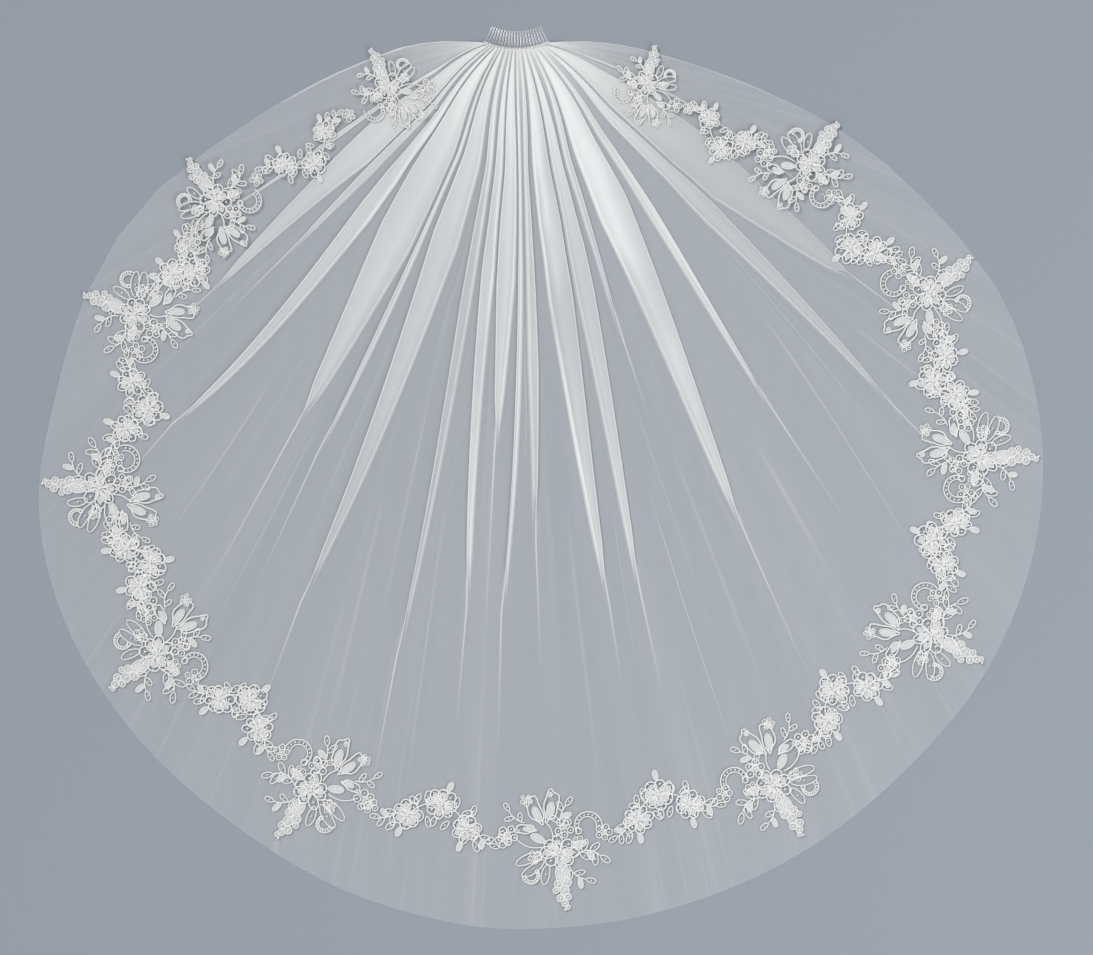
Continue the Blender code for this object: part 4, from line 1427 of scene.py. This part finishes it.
@dataclass
class LaceBorder:
    """The corded lace along the veil's edge: sprays, and garlands between them."""

    fan: Fan = Fan()
    bed: float = 1.1
    bed_over_pleats: float = 3.7
    flowers_per_garland: int = 3
    garland_start: float = 0.26
    garland_length: float = 0.48
    garland_inset_share: float = 1.2
    garland_sway: float = 24.0
    garlands_over_pleats: tuple[int, ...] = (1, 12)
    reach_share: float = 0.075
    spray_seed: int = 100
    garland_seed: int = 200
    materials: list[Material] = field(default_factory=lace_materials)

    LOBED_LEAVES = (((15.0, -31.0), -58.0, 38.0, 20.0, -6.0),
                    ((10.0, -33.0), -114.0, 40.0, 21.0, 6.0),
                    ((24.0, -24.0), -14.0, 26.0, 13.0, 4.0))
    SCROLLS = (((-40.0, -25.0), 19.0, 28.0, -205.0), ((34.0, 32.0), 12.0, 210.0, -15.0))
    TWIGS = (((-22.0, 12.0), (-54.0, 14.0), 7.0, 5, 15.0),
             ((-8.0, -16.0), (-15.0, -52.0), 5.0, 4, 13.5),
             ((-14.0, 24.0), (-34.0, 42.0), -4.0, 3, 13.0),
             ((38.0, -34.0), (56.0, -50.0), 3.0, 2, 12.0))
    LEAVES = (((17.0, 8.0), 4.0, 36.0, 13.0, False, 6.0),
              ((17.0, 14.0), 36.0, 34.0, 12.0, False, -5.0),
              ((12.0, 20.0), 68.0, 26.0, 11.0, False, 3.0),
              ((14.0, -8.0), -30.0, 20.0, 10.0, True),
              ((-20.0, 0.0), 190.0, 18.0, 9.0, True))
    RING_FLOWERS = ((-11.0, -24.0, 1.0), (60.0, -20.0, 1.05), (-27.0, -4.0, 0.72),
                    (28.0, 10.0, 0.7), (34.0, -62.0, 0.62))

    def build(self) -> list[Piece]:
        """Make the sprays, then the garlands."""
        return ([self.spray(number, spray) for number, spray in enumerate(SPRAYS, start=1)]
                + [self.garland(number) for number in range(1, len(SPRAYS))])

    def _needle(self, name: str, over_pleats: bool, seed: int) -> Motifs:
        """A needle for one piece, which lies on the net or over its pleats."""
        bed = self.bed_over_pleats if over_pleats else self.bed
        return Motifs(name, bed, np.random.default_rng(seed))

    def spray(self, number: int, spray: Spray) -> Piece:
        """One spray: a bloom, a beaded tip towards the hem, leaves, twigs and scrolls.

        Args:
            number: its number from the left end.
            spray: its row of the table.

        Returns:
            The piece.
        """
        spot, outward = self.fan.hem_frame(spray.bearing, spray.inset)
        whole = Placing(spot, heading_of(outward), spray.scale, spray.mirrored)
        motifs = self._needle(f"spray_{number:02d}", spray.over_pleats, self.spray_seed + number)
        motifs.place(whole.moved(-3.0, 6.0))
        motifs.rosette(8, 23.0)
        motifs.place(whole)
        motifs.bead_tip((-4.0, 23.0), 91.0)
        motifs.cord(bowed_path((4.0, -12.0), (13.0, -34.0), -3.0), 2.0, closed=False)
        for leaf in self.LOBED_LEAVES:
            motifs.lobed_leaf(*leaf)
        for scroll in self.SCROLLS:
            motifs.scroll(*scroll)
        for twig in self.TWIGS:
            motifs.twig(*twig)
        motifs.cord(bowed_path((18.0, -2.0), (52.0, -18.0), 6.0), 1.9, closed=False)
        for leaf in self.LEAVES:
            motifs.leaf(*leaf)
        for x, y, scale in self.RING_FLOWERS:
            motifs.place(whole.moved(x, y, scale))
            motifs.ring_flower()
        return motifs.finish(self.materials)

    def garland(self, number: int) -> Piece:
        """The flowers, twigs and cords between two sprays.

        Args:
            number: its number from the left end.

        Returns:
            The piece.
        """
        first, last = SPRAYS[number - 1], SPRAYS[number]
        bearings, lengths = self.fan.hem_lengths()
        start, end = np.interp([first.bearing, last.bearing], bearings, lengths)
        motifs = self._needle(f"garland_{number:02d}", number in self.garlands_over_pleats,
                              self.garland_seed + number)
        placings = []
        for flower in range(self.flowers_per_garland):
            share = (flower + 1.0) / (self.flowers_per_garland + 1.0)
            along = start + (end - start) * (self.garland_start + self.garland_length * share)
            inset = (first.inset + (last.inset - first.inset) * share) * self.garland_inset_share
            sway = self.garland_sway if flower % 2 else 0.0
            bearing = float(np.interp(along, lengths, bearings))
            spot, outward = self.fan.hem_frame(bearing, inset + sway)
            scale = first.scale + (last.scale - first.scale) * share
            placings.append(Placing(spot, heading_of(outward), scale))
        for index, placing in enumerate(placings):
            motifs.place(placing)
            motifs.rosette(7 + (index + number) % 2, 20.5 if index % 2 else 18.5, 4.2)
            motifs.leaf((3.0, 17.0), 84.0, 13.0, 7.0, index % 2 == 0)
            motifs.leaf((-4.0, -17.0), -98.0, 13.0, 7.0, index % 2 == 1)
        for before, after in zip(placings, placings[1:]):
            self.link(motifs, before, after)
        room = float(end - start) * self.reach_share / first.scale
        for placing, side in ((placings[0], 1.0), (placings[-1], -1.0)):
            motifs.place(placing)
            end_of_twig = ((18.0 + room * 0.5) * side, 14.0)
            motifs.twig((15.0 * side, -4.0), end_of_twig, 5.0 * side, 4, 13.0)
            motifs.leaf((12.0 * side, 14.0), 90.0 - 35.0 * side, 14.0, 7.5)
            motifs.place(placing.moved((20.0 + room) * side, 4.0, 0.85))
            motifs.ring_flower()
        return motifs.finish(self.materials)

    @staticmethod
    def link(motifs: Motifs, before: Placing, after: Placing) -> None:
        """Join two flowers of a garland with a leafy cord."""
        along = after.spot - before.spot
        middle = (before.spot + after.spot) / 2.0
        motifs.place(Placing(middle, heading_of(along) + 90.0, before.scale))
        half = along.length / 2.0 / before.scale
        motifs.cord(bowed_path((-half, 0.0), (half, 0.0), 6.0), 1.9, closed=False)
        for x, heading, side in ((-5.0, 124.0, 1.0), (5.0, 58.0, 1.0), (0.0, -90.0, -1.0)):
            motifs.leaf((x, 9.0 * side), heading, 14.0, 7.0)


# Comb


@dataclass
class CombDressing:
    """Finish of the comb's wire and the thread that whips the net to it."""

    comb: Comb = Comb()
    wraps_per_tooth: int = 3
    thread: float = 1.2
    span: float = 0.97
    width_factor: float = 2.1
    leans: tuple[float, ...] = (-0.2, 0.35, 0.35)
    steps: int = 10
    wire_sides: int = 8

    def teeth(self) -> Piece:
        """Bend the fine wire of the teeth and give the bar the same finish.

        Returns:
            The piece.
        """
        wire = WireFinish().material()
        for slot in bpy.data.objects["comb_spine"].material_slots:
            slot.material = wire
        working = bmesh.new()
        lay_tube(working, self.comb.bent_wire(), self.comb.fine_wire, False, self.wire_sides)
        return make_piece("comb_fine_teeth", working, [wire])

    def whipping(self) -> Piece:
        """Wrap thread round the bar.

        Returns:
            The piece.
        """
        working = bmesh.new()
        count = self.comb.tooth_count * self.wraps_per_tooth
        reach = self.comb.spine_wire / 2.0 + self.thread / 2.0
        for number in range(count):
            share = (2.0 * (number + 0.5) / count - 1.0) * self.span
            spot, along = self.comb.place(share)
            across = Vector((-along.y, along.x, 0.0))
            lean = self.leans[number % len(self.leans)]
            spots = []
            for step in range(self.steps):
                turn = 2.0 * math.pi * step / self.steps
                spots.append(spot + across * reach * self.width_factor * math.cos(turn)
                             + along * lean * math.cos(turn)
                             + Vector((0.0, 0.0, self.comb.spine_middle + reach * math.sin(turn))))
            lay_tube(working, spots, self.thread, True, level=along)
        return make_piece("comb_whipping", working, [CordFinish("whipping_thread").material()])


# Studio


@dataclass(frozen=True)
class Studio:
    """Camera straight above, pale floor and soft light."""

    image: tuple[int, int] = (1093, 955)
    scale: float = 1.25
    aim: tuple[float, float] = (6.9, 0.0)
    camera_height: float = 6.0
    sensor: float = 36.0
    floor_half: float = 3.0
    floor_drop: float = 0.3
    sky: Colour = (0.93, 0.96, 1.0)
    sky_strength: float = 0.52
    net_layers: int = 64

    def camera(self) -> None:
        """Set the camera so that a millimetre of veil meets its pixel."""
        data = bpy.data.cameras.new("camera")
        data.sensor_width = self.sensor
        data.lens = self.sensor * self.camera_height / (self.image[0] * self.scale * MM)
        holder = link_object("camera", data)
        holder.location = (self.aim[0] * MM, self.aim[1] * MM, self.camera_height)
        bpy.context.scene.camera = holder

    def floor(self) -> None:
        """Lay the plain floor."""
        working = bmesh.new()
        bmesh.ops.create_grid(working, x_segments=4, y_segments=4, size=self.floor_half / MM)
        bmesh.ops.translate(working, verts=working.verts, vec=(0.0, 0.0, -self.floor_drop))
        make_piece("floor", working, [FloorFinish().material()])

    @staticmethod
    def lamp(name: str, kind: str, place: Vector, colour: Colour, settings: dict) -> None:
        """Hang one soft light that faces the veil."""
        data = bpy.data.lights.new(name, kind)
        data.color = colour
        for key, setting in settings.items():
            setattr(data, key, setting)
        holder = link_object(name, data)
        holder.location = place
        holder.rotation_euler = (-place).to_track_quat("-Z", "Y").to_euler()

    def build(self) -> None:
        """Set up the whole studio."""
        self.camera()
        self.floor()
        self.lamp("key", "SUN", Vector((-1.9, 1.9, 3.0)), (1.0, 0.985, 0.96),
                  {"energy": 1.28, "angle": math.radians(18.0)})
        self.lamp("fill", "AREA", Vector((3.0, -1.8, 3.2)), (0.94, 0.97, 1.0),
                  {"energy": 60.0, "size": 2.4})
        world = bpy.data.worlds.new("studio")
        world.use_nodes = True
        background = world.node_tree.nodes["Background"]
        background.inputs["Color"].default_value = (*self.sky, 1.0)
        background.inputs["Strength"].default_value = self.sky_strength
        scene = bpy.context.scene
        scene.world = world
        scene.view_settings.view_transform = "Standard"
        scene.cycles.transparent_max_bounces = self.net_layers


def main() -> None:
    """Build the veil's looks and its studio."""
    logging.basicConfig(level=logging.INFO, format="%(asctime)s %(name)s: %(message)s")
    Studio().build()
    net = Net()
    sheet = net.build()
    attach(sheet, BODY)
    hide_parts("tulle")
    LOG.info("net: %d faces", len(sheet.data.polygons))
    lace = LaceBorder().build()
    for piece in lace:
        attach(piece, BODY)
        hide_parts(f"lace_{piece.name}")
        LOG.info("%s: %d faces", piece.name, len(piece.data.polygons))
    comb = CombDressing()
    teeth = comb.teeth()
    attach(teeth, BODY)
    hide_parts("comb_teeth")
    LOG.info("%s: %d faces", teeth.name, len(teeth.data.polygons))
    whipping = comb.whipping()
    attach(whipping, BODY)
    LOG.info("%s: %d faces", whipping.name, len(whipping.data.polygons))


if __name__ == "__main__":
    main()
